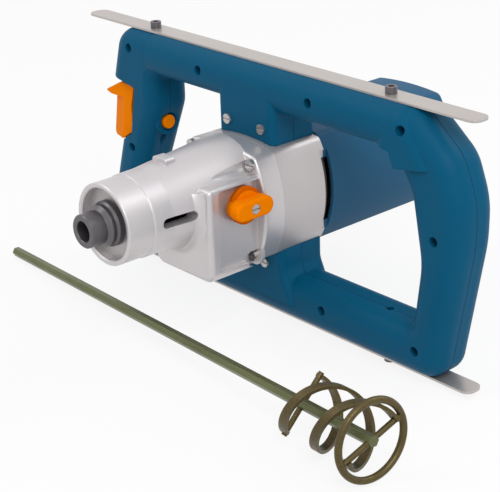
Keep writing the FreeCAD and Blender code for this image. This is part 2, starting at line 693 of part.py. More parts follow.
def motor_flange():
    """Fan chamber casting with bulkhead, side vents and lugs for the frame."""
    inner_w = FLANGE_HALF_W - FLANGE_WALL
    inner_h = FLANGE_HALF_H - FLANGE_WALL
    flange = bulged(FLANGE_HALF_W, FLANGE_HALF_H, CASE_END_Y, HOUSING_Y)
    flange = flange.cut(bulged(inner_w, inner_h, BULKHEAD_Y + BULKHEAD_T, HOUSING_Y))
    screw_posts = [rod_y(6, CASE_END_Y, BULKHEAD_Y + 1, x, z).common(
        bulged(FLANGE_HALF_W, FLANGE_HALF_H, CASE_END_Y, BULKHEAD_Y + 1))
        for x in (-CASE_SCREW_X, CASE_SCREW_X) for z in (-CASE_SCREW_Z, CASE_SCREW_Z)]
    flange = flange.cut(bulged(inner_w, inner_h, CASE_END_Y, BULKHEAD_Y)).fuse(screw_posts)
    wheel_r = MODULE_1 * (TEETH_WHEEL / 2 + ADDENDUM) + WHEEL_ROOM
    flange = flange.cut(rod_y(wheel_r, CASE_END_Y, BULKHEAD_Y, LAY_X, LAY_Z + MOTOR_DROP))
    y0, y1 = PARTING_Y + LUG_Y[0], PARTING_Y + LUG_Y[1]
    lug_half = PILLAR_HALF_W - FRAME_WALL - 1
    for z0, z1 in ((FLANGE_HALF_H - 4, PANEL_SCREW_Z + 6), (-PANEL_SCREW_Z - 6, 4 - FLANGE_HALF_H)):
        flange = flange.fuse(box(-lug_half, lug_half, y0, y1, z0, z1))
    cuts = [rod_y(MOTOR_BEARING_R, MOTOR_BEARING_Y, 230), rod_y(9, BULKHEAD_Y - 1, MOTOR_BEARING_Y),
            rod_y(BUSH_R, BULKHEAD_Y - 1, BULKHEAD_Y + 9, LAY_X, LAY_Z + MOTOR_DROP)]
    for side in (-1, 1):
        x0, x1 = sorted((side * 46, side * 60))
        cuts.append(box(x0, x1, VENT_Y, HOUSING_Y, -VENT_HALF_H, VENT_HALF_H))
        for z in (-CASE_SCREW_Z, CASE_SCREW_Z):
            cuts.append(rod_y(CASE_SCREW_R, CASE_END_Y, CASE_END_Y + 12, side * CASE_SCREW_X, z))
        for z in (-PANEL_SCREW_Z, PANEL_SCREW_Z):
            cuts.append(rod_y(SCREW_R, y0, y1, side * PANEL_SCREW_X, z))
    return at_motor(flange.cut(cuts))


# Spindle train

def spindle():
    """Output shaft with taper socket, tang slot, journals and a feather key."""
    front_end = FRONT_BEARING_Y + FRONT_BEARING_W
    slow_y = slow_gear_y()
    front_r = FRONT_JOURNAL_R - RUN_FIT
    rear_r = REAR_JOURNAL_R - RUN_FIT
    rear_end = REAR_BEARING_Y + REAR_BEARING_W + 1
    body = turned([(0, 0), (TIP_R - 1, 0), (TIP_R, 1), (TIP_R, 15), (BODY_R, 18.5), (BODY_R, 22),
                   (COLLAR_R, 24), (COLLAR_R, FRONT_BEARING_Y - 0.6), (front_r, FRONT_BEARING_Y - 0.6),
                   (front_r, front_end + 2), (16.5, front_end + 2), (16.5, 98), (SHAFT_R + 3, 98),
                   (SHAFT_R + 3, slow_y), (SHAFT_R, slow_y), (SHAFT_R, REAR_BEARING_Y - 0.8),
                   (rear_r, REAR_BEARING_Y - 0.8), (rear_r, rear_end), (0, rear_end)])
    end_r = SOCKET_R - SOCKET_DEPTH * TAPER
    socket = turned([(0, 0), (SOCKET_R + 0.6, 0), (SOCKET_R, 0.8), (end_r, SOCKET_DEPTH), (0, SOCKET_DEPTH)])
    tang = box(-40, 40, DRIFT_Y + 1, DRIFT_Y + 24, -3.3, 3.3)
    body = body.cut([socket, tang])
    key_y = (slow_y + GEAR_W + DOG_H, fast_gear_y() - DOG_H - 0.8)
    return body.fuse(box(-KEY_W / 2, KEY_W / 2, *key_y, SHAFT_R - 3, KEY_TOP))


def collar_y():
    return KNOB_Y - PIN_OFFSET - COLLAR_W / 2


def slow_gear_y():
    return collar_y() - DOG_H - AIR - GEAR_W


def fast_gear_y():
    """Front face of the fast gear, clear of the collar's dogs at full travel."""
    return collar_y() + COLLAR_W + 2 * PIN_OFFSET + 2 * DOG_H + AIR


def dogs(y0, y1, first):
    start = first - DOG_ANGLE / 2
    return [sector(DOG_INNER_R, DOG_OUTER_R, start + 90 * i, DOG_ANGLE, y0, y1) for i in range(4)]


def slow_gear():
    y0 = slow_gear_y()
    toward_lay = math.atan2(LAY_Z, LAY_X)
    wheel = gear(TEETH_SLOW, MODULE_2, y0, y0 + GEAR_W, 0, 0, toward_lay + math.pi / TEETH_SLOW)
    wheel = wheel.cut(rod_y(SHAFT_R, y0, y0 + GEAR_W))
    return wheel.fuse(dogs(y0 + GEAR_W, y0 + GEAR_W + DOG_H, 0))


def fast_gear():
    y0 = fast_gear_y()
    toward_lay = math.atan2(LAY_Z, LAY_X)
    wheel = gear(TEETH_FAST, MODULE_2, y0, y0 + FAST_W, 0, 0, toward_lay + math.pi / TEETH_FAST)
    wheel = wheel.fuse(dogs(y0 - DOG_H, y0, 0))
    return wheel.cut(rod_y(SHAFT_R + RUN_FIT, y0, y0 + FAST_W))


def clutch_collar():
    """Grooved collar that slides on the spindle and locks a gear to it."""
    y0 = collar_y()
    mid = y0 + COLLAR_W / 2
    groove0 = mid - PIN_R - GROOVE_PLAY
    groove1 = mid + PIN_R + GROOVE_PLAY
    ring = turned([(SHAFT_R + RUN_FIT, y0), (CLUTCH_R, y0), (CLUTCH_R, groove0), (GROOVE_R, groove0),
                   (GROOVE_R, groove1), (CLUTCH_R, groove1), (CLUTCH_R, y0 + COLLAR_W),
                   (SHAFT_R + RUN_FIT, y0 + COLLAR_W)])
    ring = ring.fuse(dogs(y0 - DOG_H, y0, 45) + dogs(y0 + COLLAR_W, y0 + COLLAR_W + DOG_H, 45))
    half = KEY_W / 2 + 0.1
    return ring.cut(box(-half, half, y0 - 5, y0 + COLLAR_W + 5, 0, KEY_TOP + 0.3))


def layshaft():
    """Shaft with the slow pinion cut on it."""
    slow_y = slow_gear_y()
    toward_spindle = math.atan2(-LAY_Z, -LAY_X)
    shaft = rod_y(LAY_R - RUN_FIT, BLOCK_Y + 3, WHEEL_Y + WHEEL_W, LAY_X, LAY_Z)
    tail = rod_y(LAY_REAR_R, WHEEL_Y + WHEEL_W, BULKHEAD_Y + 8.5, LAY_X, LAY_Z)
    pinion = gear(TEETH_SLOW_PINION, MODULE_2, slow_y - 1, slow_y + GEAR_W + 1, LAY_X, LAY_Z, toward_spindle)
    return shaft.fuse([tail, pinion])


def fast_pinion():
    y0 = fast_gear_y() - 0.5
    toward_spindle = math.atan2(-LAY_Z, -LAY_X)
    pinion = gear(TEETH_FAST_PINION, MODULE_2, y0, y0 + FAST_W + 1, LAY_X, LAY_Z, toward_spindle)
    return pinion.cut(rod_y(LAY_R - RUN_FIT, y0, y0 + FAST_W + 1, LAY_X, LAY_Z))


def layshaft_wheel():
    toward_motor = math.atan2(-MOTOR_DROP - LAY_Z, -LAY_X)
    wheel = gear(TEETH_WHEEL, MODULE_1, WHEEL_Y, WHEEL_Y + WHEEL_W, LAY_X, LAY_Z,
                 toward_motor + math.pi / TEETH_WHEEL)
    return wheel.cut(rod_y(LAY_R - RUN_FIT, WHEEL_Y, WHEEL_Y + WHEEL_W, LAY_X, LAY_Z))


def spindle_train():
    save("spindle", spindle())
    save("slow_gear", slow_gear())
    save("fast_gear", fast_gear())
    save("clutch_collar", clutch_collar())
    save("layshaft", layshaft())
    save("fast_pinion", fast_pinion())
    save("layshaft_wheel", layshaft_wheel())
    recess_r = NOSE_R - RECESS_WALL
    save("spindle_front_bearing", ball_bearing(FRONT_JOURNAL_R, recess_r, FRONT_BEARING_Y, FRONT_BEARING_W))
    save("spindle_rear_bearing", ball_bearing(REAR_JOURNAL_R, REAR_BEARING_R, REAR_BEARING_Y, REAR_BEARING_W))
    save("spindle_seal", tube_y(recess_r, COLLAR_R + RUN_FIT, FRONT_BEARING_Y - 7, FRONT_BEARING_Y - 1.6))
    clip = tube_y(recess_r, recess_r - 4, FRONT_BEARING_Y - 1.6, FRONT_BEARING_Y)
    clip = clip.cut(box(-4, 4, 0, 60, 0, 40))
    save("bearing_circlip", clip)
    save("layshaft_front_bush", tube_y(BUSH_R, LAY_R, BLOCK_Y + 2, 103, LAY_X, LAY_Z))
    save("layshaft_rear_bush", tube_y(BUSH_R, LAY_REAR_R + RUN_FIT, BULKHEAD_Y, BULKHEAD_Y + 9, LAY_X, LAY_Z))


# Selector

def selector_knob():
    """Bar knob on a round skirt, with a recess for its screw."""
    half = KNOB_L / 2 - KNOB_W / 2
    x0, x1 = KNOB_FACE_X + AIR, KNOB_OUT
    x2 = x0 + KNOB_SKIRT_T
    knob = box(x2, x1, KNOB_Y - half, KNOB_Y + half, -KNOB_W / 2, KNOB_W / 2)
    for y in (KNOB_Y - half, KNOB_Y + half):
        knob = knob.fuse(rod_x(KNOB_W / 2, x2, x1, y))
    knob = knob.removeSplitter()
    knob = rounded(knob, 2.5, lambda e: abs(e.BoundBox.XMin - x1) < 1e-3 and abs(e.BoundBox.XMax - x1) < 1e-3)
    knob = knob.fuse(rod_x(KNOB_SKIRT_R, x0, x2, KNOB_Y))
    knob = knob.cut(rod_x(4.6, x1 - 2.5, x1, KNOB_Y))
    knob = knob.cut(rod_x(2.0, x0, x1, KNOB_Y))
    return knob.cut(rod_x(SELECTOR_R, x0, x0 + 4, KNOB_Y))


def selector_shaft():
    """Shaft through the case wall with its eccentric pin in the collar's groove."""
    outer = KNOB_FACE_X + AIR + 4
    shaft = rod_x(SELECTOR_R, CLUTCH_R + 3, outer, KNOB_Y)
    pin = rod_x(PIN_R, GROOVE_R + 0.7, CLUTCH_R + 4, KNOB_Y - PIN_OFFSET)
    return shaft.fuse(pin).cut(rod_x(2.0, outer - 12, outer, KNOB_Y))


def knob_screw():
    x1 = KNOB_OUT
    screw = rod_x(4.4, x1 - 2.5, x1 - 0.3, KNOB_Y)
    screw = screw.fuse(rod_x(2.0, KNOB_FACE_X + AIR - 7, x1 - 2.5, KNOB_Y))
    return screw.cut(box(x1 - 1.3, x1, KNOB_Y - 5, KNOB_Y + 5, -0.6, 0.6))


def selector():
    save("selector_knob", selector_knob())
    save("selector_shaft", selector_shaft())
    save("knob_screw", knob_screw())


# Motor

def armature_shaft():
    """Motor shaft with its pinion cut on the front end."""
    bearing_end = MOTOR_BEARING_Y + MOTOR_BEARING_W
    pinion_end = WHEEL_Y + WHEEL_W + 0.8
    toward_lay = math.atan2(LAY_Z + MOTOR_DROP, LAY_X)
    pinion = gear(TEETH_MOTOR, MODULE_1, WHEEL_Y - 0.8, pinion_end, 0, 0, toward_lay)
    shaft = turned([(0, pinion_end), (MOTOR_JOURNAL_R - RUN_FIT, pinion_end),
                    (MOTOR_JOURNAL_R - RUN_FIT, bearing_end + 0.6), (SHAFT_MID_R, bearing_end + 0.6),
                    (SHAFT_MID_R, TAIL_BEARING_Y - 0.6), (TAIL_JOURNAL_R - RUN_FIT, TAIL_BEARING_Y - 0.6),
                    (TAIL_JOURNAL_R - RUN_FIT, TAIL_BEARING_Y + TAIL_BEARING_W + 1),
                    (0, TAIL_BEARING_Y + TAIL_BEARING_W + 1)])
    return shaft.fuse(pinion)


def armature_core():
    core = tube_y(ARMATURE_R, SHAFT_MID_R, CORE_Y, CORE_Y + CORE_L)
    slots = []
    for i in range(12):
        slot = box(18, ARMATURE_R + 1, CORE_Y, CORE_Y + CORE_L, -1.6, 1.6)
        slot.rotate(V(0, 0, 0), V(0, 1, 0), 30 * i + 15)
        slots.append(slot)
    return core.cut(slots)


def armature_windings():
    """End turns on both sides of the core."""
    front = turned([(9, CORE_Y - 12), (22, CORE_Y - 12), (24.5, CORE_Y - 8), (24.5, CORE_Y), (9, CORE_Y)])
    y1 = CORE_Y + CORE_L
    rear = turned([(9, y1), (24.5, y1), (24.5, y1 + 9), (20, y1 + 15), (9, y1 + 15)])
    return [front, rear]


def commutator():
    body = tube_y(COMMUTATOR_R, SHAFT_MID_R, COMMUTATOR_Y, COMMUTATOR_Y + COMMUTATOR_L)
    riser = tube_y(COMMUTATOR_R + 2.5, SHAFT_MID_R, COMMUTATOR_Y - 3, COMMUTATOR_Y)
    return body.fuse(riser)


def fan():
    """Radial fan on the drive end that blows out through the side vents."""
    wheel = tube_y(FAN_R, SHAFT_MID_R, FAN_Y, FAN_Y + 2.5)
    wheel = wheel.fuse(tube_y(12, SHAFT_MID_R, FAN_Y, FAN_Y + 12))
    blades = []
    for i in range(FAN_BLADES):
        blade = box(11, FAN_R - 1, FAN_Y + 2, FAN_Y + 15, -1, 1)
        blade.rotate(V(0, 0, 0), V(0, 1, 0), 360.0 * i / FAN_BLADES)
        blades.append(blade)
    return wheel.fuse(blades)


def stator_core():
    inner_w = HOUSING_HALF_W - HOUSING_WALL
    inner_h = HOUSING_HALF_H - HOUSING_WALL
    core = bulged(inner_w, inner_h, CORE_Y, CORE_Y + CORE_L, HOUSING_TOP_R)
    core = core.cut(rod_y(ARMATURE_R + AIR_GAP, CORE_Y, CORE_Y + CORE_L))
    windows = [sector(*COIL_R, a, 32, CORE_Y, CORE_Y + CORE_L) for a in (46, 102, 226, 282)]
    return core.cut(windows)


def field_coils():
    """Two saddle coils round the side poles."""
    y0, y1 = CORE_Y - 9, CORE_Y + CORE_L + 9
    coils = []
    for first in (-76, 104):
        legs = [sector(*COIL_R, first, 28, y0, y1), sector(*COIL_R, first + 124, 28, y0, y1)]
        ends = [sector(*COIL_R, first, 152, y0, y0 + 8), sector(*COIL_R, first, 152, y1 - 8, y1)]
        coils.append(legs[0].fuse([legs[1]] + ends).removeSplitter())
    return coils


def cap_screw_places():
    return [(x, z) for x in (-CAP_SCREW_X, CAP_SCREW_X) for z in (-CAP_SCREW_Z, CAP_SCREW_Z)]


def motor_housing():
    inner_w = HOUSING_HALF_W - HOUSING_WALL
    inner_h = HOUSING_HALF_H - HOUSING_WALL
    shell = bulged(HOUSING_HALF_W, HOUSING_HALF_H, HOUSING_Y, CAP_Y, HOUSING_TOP_R)
    shell = shell.cut(bulged(inner_w, inner_h, HOUSING_Y, CAP_Y, HOUSING_TOP_R))
    start = CAP_Y - CAP_POST_L
    within = bulged(HOUSING_HALF_W, HOUSING_HALF_H, start, CAP_Y, HOUSING_TOP_R)
    for x, z in cap_screw_places():
        corner = box(*sorted((x, x * 1.25)), start, CAP_Y, *sorted((z, z * 1.25)))
        shell = shell.fuse(rod_y(CAP_POST_R, start, CAP_Y, x, z).fuse(corner).common(within))
    cuts = [rod_y(SCREW_R, CAP_Y - 16, CAP_Y, x, z) for x, z in cap_screw_places()]
    cuts += [rod_x(BRUSH_CAP_R, 40, 60, BRUSH_Y), rod_x(BRUSH_CAP_R, -60, -40, BRUSH_Y)]
    for x0, x1 in ((46, 60), (-60, -46)):
        cuts.append(box(x0, x1, HOUSING_Y, VENT_END_Y, -VENT_HALF_H, VENT_HALF_H))
    return shell.cut(cuts)


def motor_end_cap():
    inner_w = HOUSING_HALF_W - HOUSING_WALL
    inner_h = HOUSING_HALF_H - HOUSING_WALL
    cap = bulged(HOUSING_HALF_W, HOUSING_HALF_H, CAP_Y, REAR_Y, HOUSING_TOP_R)
    cap = rounded(cap, CAP_ROUND, on_plane_y(REAR_Y))
    cap = cap.cut(bulged(inner_w - 4, inner_h - 4, CAP_Y, REAR_Y - HOUSING_WALL, HOUSING_TOP_R))
    cap = cap.fuse(rod_y(TAIL_BEARING_R + 3.5, TAIL_BEARING_Y - 1, REAR_Y - 1))
    cap = cap.fuse([rod_y(CAP_POST_R, CAP_Y, REAR_Y - 2, x, z) for x, z in cap_screw_places()])
    cuts = [rod_y(TAIL_BEARING_R, TAIL_BEARING_Y - 2, TAIL_BEARING_Y + TAIL_BEARING_W),
            rod_y(TAIL_BEARING_R - 4, TAIL_BEARING_Y, TAIL_BEARING_Y + TAIL_BEARING_W + 3)]
    for x, z in cap_screw_places():
        cuts += [rod_y(SCREW_R, CAP_Y, REAR_Y, x, z), rod_y(RECESS_R, REAR_Y - CAP_SEAT, REAR_Y, x, z)]
    return cap.cut(cuts)


def end_cap_screws():
    screws = []
    seat = REAR_Y - CAP_SEAT
    for x, z in cap_screw_places():
        screw = rod_y(SCREW_HEAD_R, seat, seat + 3, x, z).fuse(rod_y(SCREW_R, CAP_Y - 15, seat, x, z))
        screws.append(at_motor(screw.cut(box(x - 4, x + 4, seat + 1.5, seat + 3, z - 0.5, z + 0.5))))
    return screws


def air_baffle():
    """Ring that guides the air from the motor to the fan."""
    baffle = bulged(FLANGE_HALF_W - FLANGE_WALL, FLANGE_HALF_H - FLANGE_WALL, HOUSING_Y - BAFFLE_T, HOUSING_Y)
    return baffle.cut(rod_y(BAFFLE_HOLE_R, HOUSING_Y - BAFFLE_T, HOUSING_Y))


def brush_gear():
    """Brush holders, brushes, springs and caps on both sides of the commutator."""
    holders, brushes, springs, caps = [], [], [], []
    inner_w = HOUSING_HALF_W - HOUSING_WALL
    inner_h = HOUSING_HALF_H - HOUSING_WALL
    w, h = BRUSH_W / 2, BRUSH_H / 2
    for side in (-1, 1):
        x0 = COMMUTATOR_R + 2
        holder = box(x0, HOUSING_HALF_W, BRUSH_Y - w - HOLDER_WALL, BRUSH_Y + w + HOLDER_WALL,
                     -h - HOLDER_WALL, h + HOLDER_WALL)
        holder = holder.common(bulged(inner_w, inner_h, BRUSH_Y - 10, BRUSH_Y + 10, HOUSING_TOP_R))
        holder = holder.cut(box(x0, 60, BRUSH_Y - w, BRUSH_Y + w, -h, h))
        brush = box(COMMUTATOR_R + AIR, 33, BRUSH_Y - w, BRUSH_Y + w, -h, h)
        spring = rod_x(2.4, 33, inner_w - 4, BRUSH_Y).cut(rod_x(1.6, 33, inner_w - 4, BRUSH_Y))
        cap = rod_x(BRUSH_CAP_R, inner_w, HOUSING_HALF_W - 0.5, BRUSH_Y)
        cap = cap.fuse(rod_x(2.6, inner_w - 4, inner_w, BRUSH_Y))
        cap = cap.cut(box(HOUSING_HALF_W - 1.8, 60, BRUSH_Y - 8, BRUSH_Y + 8, -0.7, 0.7))
        for group, shape in ((holders, holder), (brushes, brush), (springs, spring), (caps, cap)):
            if side < 0:
                shape = shape.mirror(V(0, 0, 0), V(1, 0, 0))
            group.append(at_motor(shape))
    save("brush_holders", holders)
    save("carbon_brushes", brushes)
    save("brush_springs", springs)
    save("brush_caps", caps)


def motor():
    for name, make in (("armature_shaft", armature_shaft), ("armature_core", armature_core),
                       ("commutator", commutator), ("cooling_fan", fan), ("stator_core", stator_core),
                       ("motor_housing", motor_housing), ("motor_end_cap", motor_end_cap),
                       ("air_baffle", air_baffle)):
        save(name, at_motor(make()))
    save("armature_windings", [at_motor(s) for s in armature_windings()])
    save("field_coils", [at_motor(s) for s in field_coils()])
    save("end_cap_screws", end_cap_screws())
    save("motor_front_bearing", at_motor(ball_bearing(MOTOR_JOURNAL_R, MOTOR_BEARING_R,
                                                      MOTOR_BEARING_Y, MOTOR_BEARING_W)))
    save("motor_rear_bearing", at_motor(ball_bearing(TAIL_JOURNAL_R, TAIL_BEARING_R,
                                                     TAIL_BEARING_Y, TAIL_BEARING_W)))
    brush_gear()


# Trigger, lock button and cable gland

def trigger():
    """Paddle trigger with a finger lip, leaning with the grip."""
    w = TRIGGER_HALF_W
    inner = TRIGGER_INNER_X
    shape = prism([(-216.5, 46.5, 1), (-192, TRIGGER_TOP, 3), (inner + 6, TRIGGER_TOP - 0.5, 2),
                   (inner, SWITCH_Z[1], 0), (inner, SWITCH_Z[0], 0), (-194, TRIGGER_BOTTOM + 1, 2),
                   (-215.5, TRIGGER_BOTTOM, 4), (-207, 43.5, 2)], -w, w)
    for side in (-1, 1):
        points = [V(-188, side * w, 44), V(-230, side * (w - 14), 44), V(-230, side * (w + 5), 44),
                  V(-188, side * (w + 5), 44)]
        wedge = Part.Face(Part.makePolygon(points + points[:1])).extrude(V(-7.5, 0, -50))
        shape = shape.cut(wedge)
    return shape.cut(rod_x(4.2, SPRING_SEAT_X, inner, 0, SPRING_Z))


def controls():
    save("trigger", at_frame(trigger()))
    spring = tube_x(3.6, 2.6, SPRING_SEAT_X, SWITCH_X[0], SPRING_Z)
    save("trigger_spring", at_frame(spring))
    switch = box(SWITCH_X[0], SWITCH_X[1], -SWITCH_HALF_W, SWITCH_HALF_W, *SWITCH_Z)
    save("switch_body", at_frame(switch))
    button = rod_x(BUTTON_R, BUTTON_X - 7, BUTTON_X, 0, BUTTON_Z)
    button = rounded(button, 1.2, lambda e: abs(e.BoundBox.XMin - BUTTON_X) < 1e-3)
    stem = rod_x(2.8, SWITCH_X[1] + BUTTON_TRAVEL + 0.6, BUTTON_X - 7, 0, BUTTON_Z)
    save("lock_button", at_frame(button.fuse(stem)))
    spring = tube_x(4.6, 3.6, SWITCH_X[1], BUTTON_X - 7, BUTTON_Z)
    save("button_spring", at_frame(spring))
    seat = REAR_DEPTH - CORD_SINK
    gland = rod_y(CORD_SEAT_R, seat - 10, seat, CORD_X, CORD_Z)
    gland = gland.fuse(rod_y(CORD_FLANGE_R, seat, seat + 6, CORD_X, CORD_Z))
    save("cable_gland", at_frame(gland.cut(rod_y(CORD_HOLE_R, 0, 60, CORD_X, CORD_Z))))


# Mixing paddle

def paddle_place(shape):
    """From a rod along +X at the origin to where the paddle lies."""
    start = V(*PADDLE_FREE_END)
    along = (V(*PADDLE_RING_END) - start).normalize()
    turn = FreeCAD.Rotation(V(1, 0, 0), along)
    shape.Placement = FreeCAD.Placement(start, turn).multiply(shape.Placement)
    return shape


def paddle_blade(length, first):
    """Flat helical blade that runs from the first prong to the end ring's cross bar."""
    helix = Part.makeHelix(BLADE_L * 360.0 / BLADE_TURN, BLADE_L, BLADE_R, 0, True)
    points = [V(BLADE_R + a * BLADE_T / 2, 0, b * BLADE_W / 2)
              for a, b in ((-1, -1), (1, -1), (1, 1), (-1, 1))]
    profile = Part.makePolygon(points + points[:1])
    blade = Part.Wire(helix).makePipeShell([profile], True, True)
    blade.rotate(V(0, 0, 0), V(0, 1, 0), 90)
    blade.rotate(V(0, 0, 0), V(1, 0, 0), first + 90)
    blade.translate(V(length - RING_BAR_R - BLADE_L, 0, 0))
    return blade


def paddle_prong(x, angle, reach):
    """Bar through the rod, turned about it by angle."""
    bar = rod_z(PRONG_R, -reach, reach, x)
    bar.rotate(V(0, 0, 0), V(1, 0, 0), angle - 90)
    return bar


def paddle():
    length = (V(*PADDLE_RING_END) - V(*PADDLE_FREE_END)).Length
    corner = ROD_AF / math.sqrt(3)
    points = [V(0, corner * math.cos(math.radians(60 * i)), corner * math.sin(math.radians(60 * i)))
              for i in range(7)]
    ring_x = length - RING_BAR_R
    blade_x = ring_x - BLADE_L
    rod = Part.Face(Part.makePolygon(points)).extrude(V(length, 0, 0))
    ring = Part.makeTorus(RING_R, RING_BAR_R, V(ring_x, 0, 0), V(1, 0, 0))
    prongs = [paddle_prong(blade_x, BLADE_START, PRONG_L),
              paddle_prong(ring_x, BLADE_START - BLADE_TURN, RING_R)]
    blades = [paddle_blade(length, first).cut([ring] + prongs) for first in (BLADE_START, BLADE_START + 180)]
    blades = [max(b.Solids, key=lambda s: s.Volume) for b in blades]
    prongs = [p.cut([rod, ring]) for p in prongs]
    save("paddle_blades", [paddle_place(b) for b in blades])
    save("paddle_prongs", [paddle_place(s) for p in prongs for s in p.Solids])
    save("paddle_rod", paddle_place(rod))
    save("paddle_ring", paddle_place(ring))


os.makedirs("parts", exist_ok=True)
handle_halves()
frame_screws()
guard_bars()
save("gear_case", gear_case())
case_screws()
save("bearing_plate", bearing_plate())
save("motor_flange", motor_flange())
spindle_train()
selector()
motor()
controls()
paddle()
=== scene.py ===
"""Dresses the solids of a two-grip mixing drill and its paddle, and lights them for a picture."""

import logging
import math
from dataclasses import dataclass, replace
from enum import Enum
from typing import Any, Iterable, Optional, Sequence, Union

import bmesh
import bpy
from mathutils import Matrix, Vector


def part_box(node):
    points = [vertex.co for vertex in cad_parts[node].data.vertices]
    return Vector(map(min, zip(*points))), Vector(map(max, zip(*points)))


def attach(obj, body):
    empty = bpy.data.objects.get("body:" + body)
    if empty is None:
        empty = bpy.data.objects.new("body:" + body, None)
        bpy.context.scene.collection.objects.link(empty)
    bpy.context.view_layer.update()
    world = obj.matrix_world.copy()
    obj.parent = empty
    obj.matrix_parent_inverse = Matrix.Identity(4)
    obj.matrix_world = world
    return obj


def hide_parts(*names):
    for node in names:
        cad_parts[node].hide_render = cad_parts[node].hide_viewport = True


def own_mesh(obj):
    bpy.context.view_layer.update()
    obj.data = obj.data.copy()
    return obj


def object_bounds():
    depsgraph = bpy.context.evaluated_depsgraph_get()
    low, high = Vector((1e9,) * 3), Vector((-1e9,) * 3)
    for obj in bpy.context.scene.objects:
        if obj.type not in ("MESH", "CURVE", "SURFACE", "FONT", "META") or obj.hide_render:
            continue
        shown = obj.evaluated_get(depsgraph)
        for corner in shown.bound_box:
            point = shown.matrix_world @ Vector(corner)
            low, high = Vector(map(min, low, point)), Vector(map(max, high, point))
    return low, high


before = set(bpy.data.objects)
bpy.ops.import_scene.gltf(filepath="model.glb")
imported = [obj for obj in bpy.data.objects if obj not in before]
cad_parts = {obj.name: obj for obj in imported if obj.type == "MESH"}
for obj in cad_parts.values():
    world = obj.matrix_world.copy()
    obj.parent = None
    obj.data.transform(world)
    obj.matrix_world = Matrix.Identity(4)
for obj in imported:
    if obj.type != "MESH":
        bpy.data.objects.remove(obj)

LOG = logging.getLogger("mixing_drill")
CAD_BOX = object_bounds()
IMAGE_WIDTH = 500
MM = 0.001

Colour = tuple[float, float, float]
WHITE = (1.0, 1.0, 1.0, 1.0)

# Sockets of the Mix node where it mixes colours.
MIX_FACTOR, MIX_LOW, MIX_HIGH, MIX_RESULT = 0, 6, 7, 2

# Noise: octaves of finer noise, and the middle of its range.
SOFT_DETAIL, RICH_DETAIL = 2.0, 3.0
MIDDLE = 0.5

# Every finish: cells per metre of its slow drift, its share of the colour, and its relief.
BROAD_CELLS = 14.0
DRIFT_SHARE, MARKS_SHARE = 0.5, 0.5
RELIEF_STRENGTH = 0.6

# Edges lightened as wear and as a painted highlight: samples, the normal's bend where the
# lightening starts and is full, and the lighter colour.
EDGE_SAMPLES = 4
EDGE_START, EDGE_FULL = 0.01, 0.25
EDGE_WEAR_HIGHLIGHT_GAIN, EDGE_WEAR_HIGHLIGHT_LIFT = 1.35, 0.03

# Marks of each texture, relative to the finest grain.
DRAWN_STRETCH = 60
TURNED_STRETCH = 12
SHEET_SPREAD, SHEET_WAVER = 20, 0.4
STRAND_SPREAD, STRAND_WAVER = 10, 3.0
PIT_SHARE, CLOUD_SHARE, CLOUD_SCALE = 0.7, 0.5, 0.4

# Meshes: roundness of spring wire, and steps and profile of a rounded edge.
WIRE_RESOLUTION = 3
ROUND_STEPS, ROUND_PROFILE = 3, 0.5


def srgb(red: int, green: int, blue: int) -> Colour:
    """Turns display colour bytes into the linear colour that shaders use.

    Args:
        red: Red byte.
        green: Green byte.
        blue: Blue byte.

    Returns:
        The linear colour.
    """
    def channel(byte: int) -> float:
        """One byte as a linear share, by the curve of the sRGB standard."""
        share = byte / 255
        return share / 12.92 if share <= 0.04045 else ((share + 0.055) / 1.055) ** 2.4
    return channel(red), channel(green), channel(blue)


class Signal:
    """One output socket, ready for Python arithmetic."""

    def __init__(self, tree: "Tree", socket: Optional[bpy.types.NodeSocket]) -> None:
        """Keeps the socket, if the node has one, and the tree that it belongs to."""
        self.tree = tree
        self.socket = socket

    def _math(self, operation: str, first: "Input", second: "Input") -> "Signal":
        """Adds one Math node.

        Args:
            operation: Name of the Math operation.
            first: First operand.
            second: Second operand.

        Returns:
            The node's result.
        """
        return self.tree.node("ShaderNodeMath", {"operation": operation}, {0: first, 1: second})

    def __add__(self, other: "Input") -> "Signal":
        """self + other."""
        return self._math("ADD", self, other)

    def __radd__(self, other: "Input") -> "Signal":
        """other + self."""
        return self._math("ADD", other, self)

    def __sub__(self, other: "Input") -> "Signal":
        """self - other."""
        return self._math("SUBTRACT", self, other)

    def __rsub__(self, other: "Input") -> "Signal":
        """other - self."""
        return self._math("SUBTRACT", other, self)

    def __mul__(self, other: "Input") -> "Signal":
        """self * other."""
        return self._math("MULTIPLY", self, other)

    def __rmul__(self, other: "Input") -> "Signal":
        """other * self."""
        return self._math("MULTIPLY", other, self)

    def either(self, other: "Input") -> "Signal":
        """The larger of the two."""
        return self._math("MAXIMUM", self, other)


Input = Union[Signal, float, Sequence[float]]


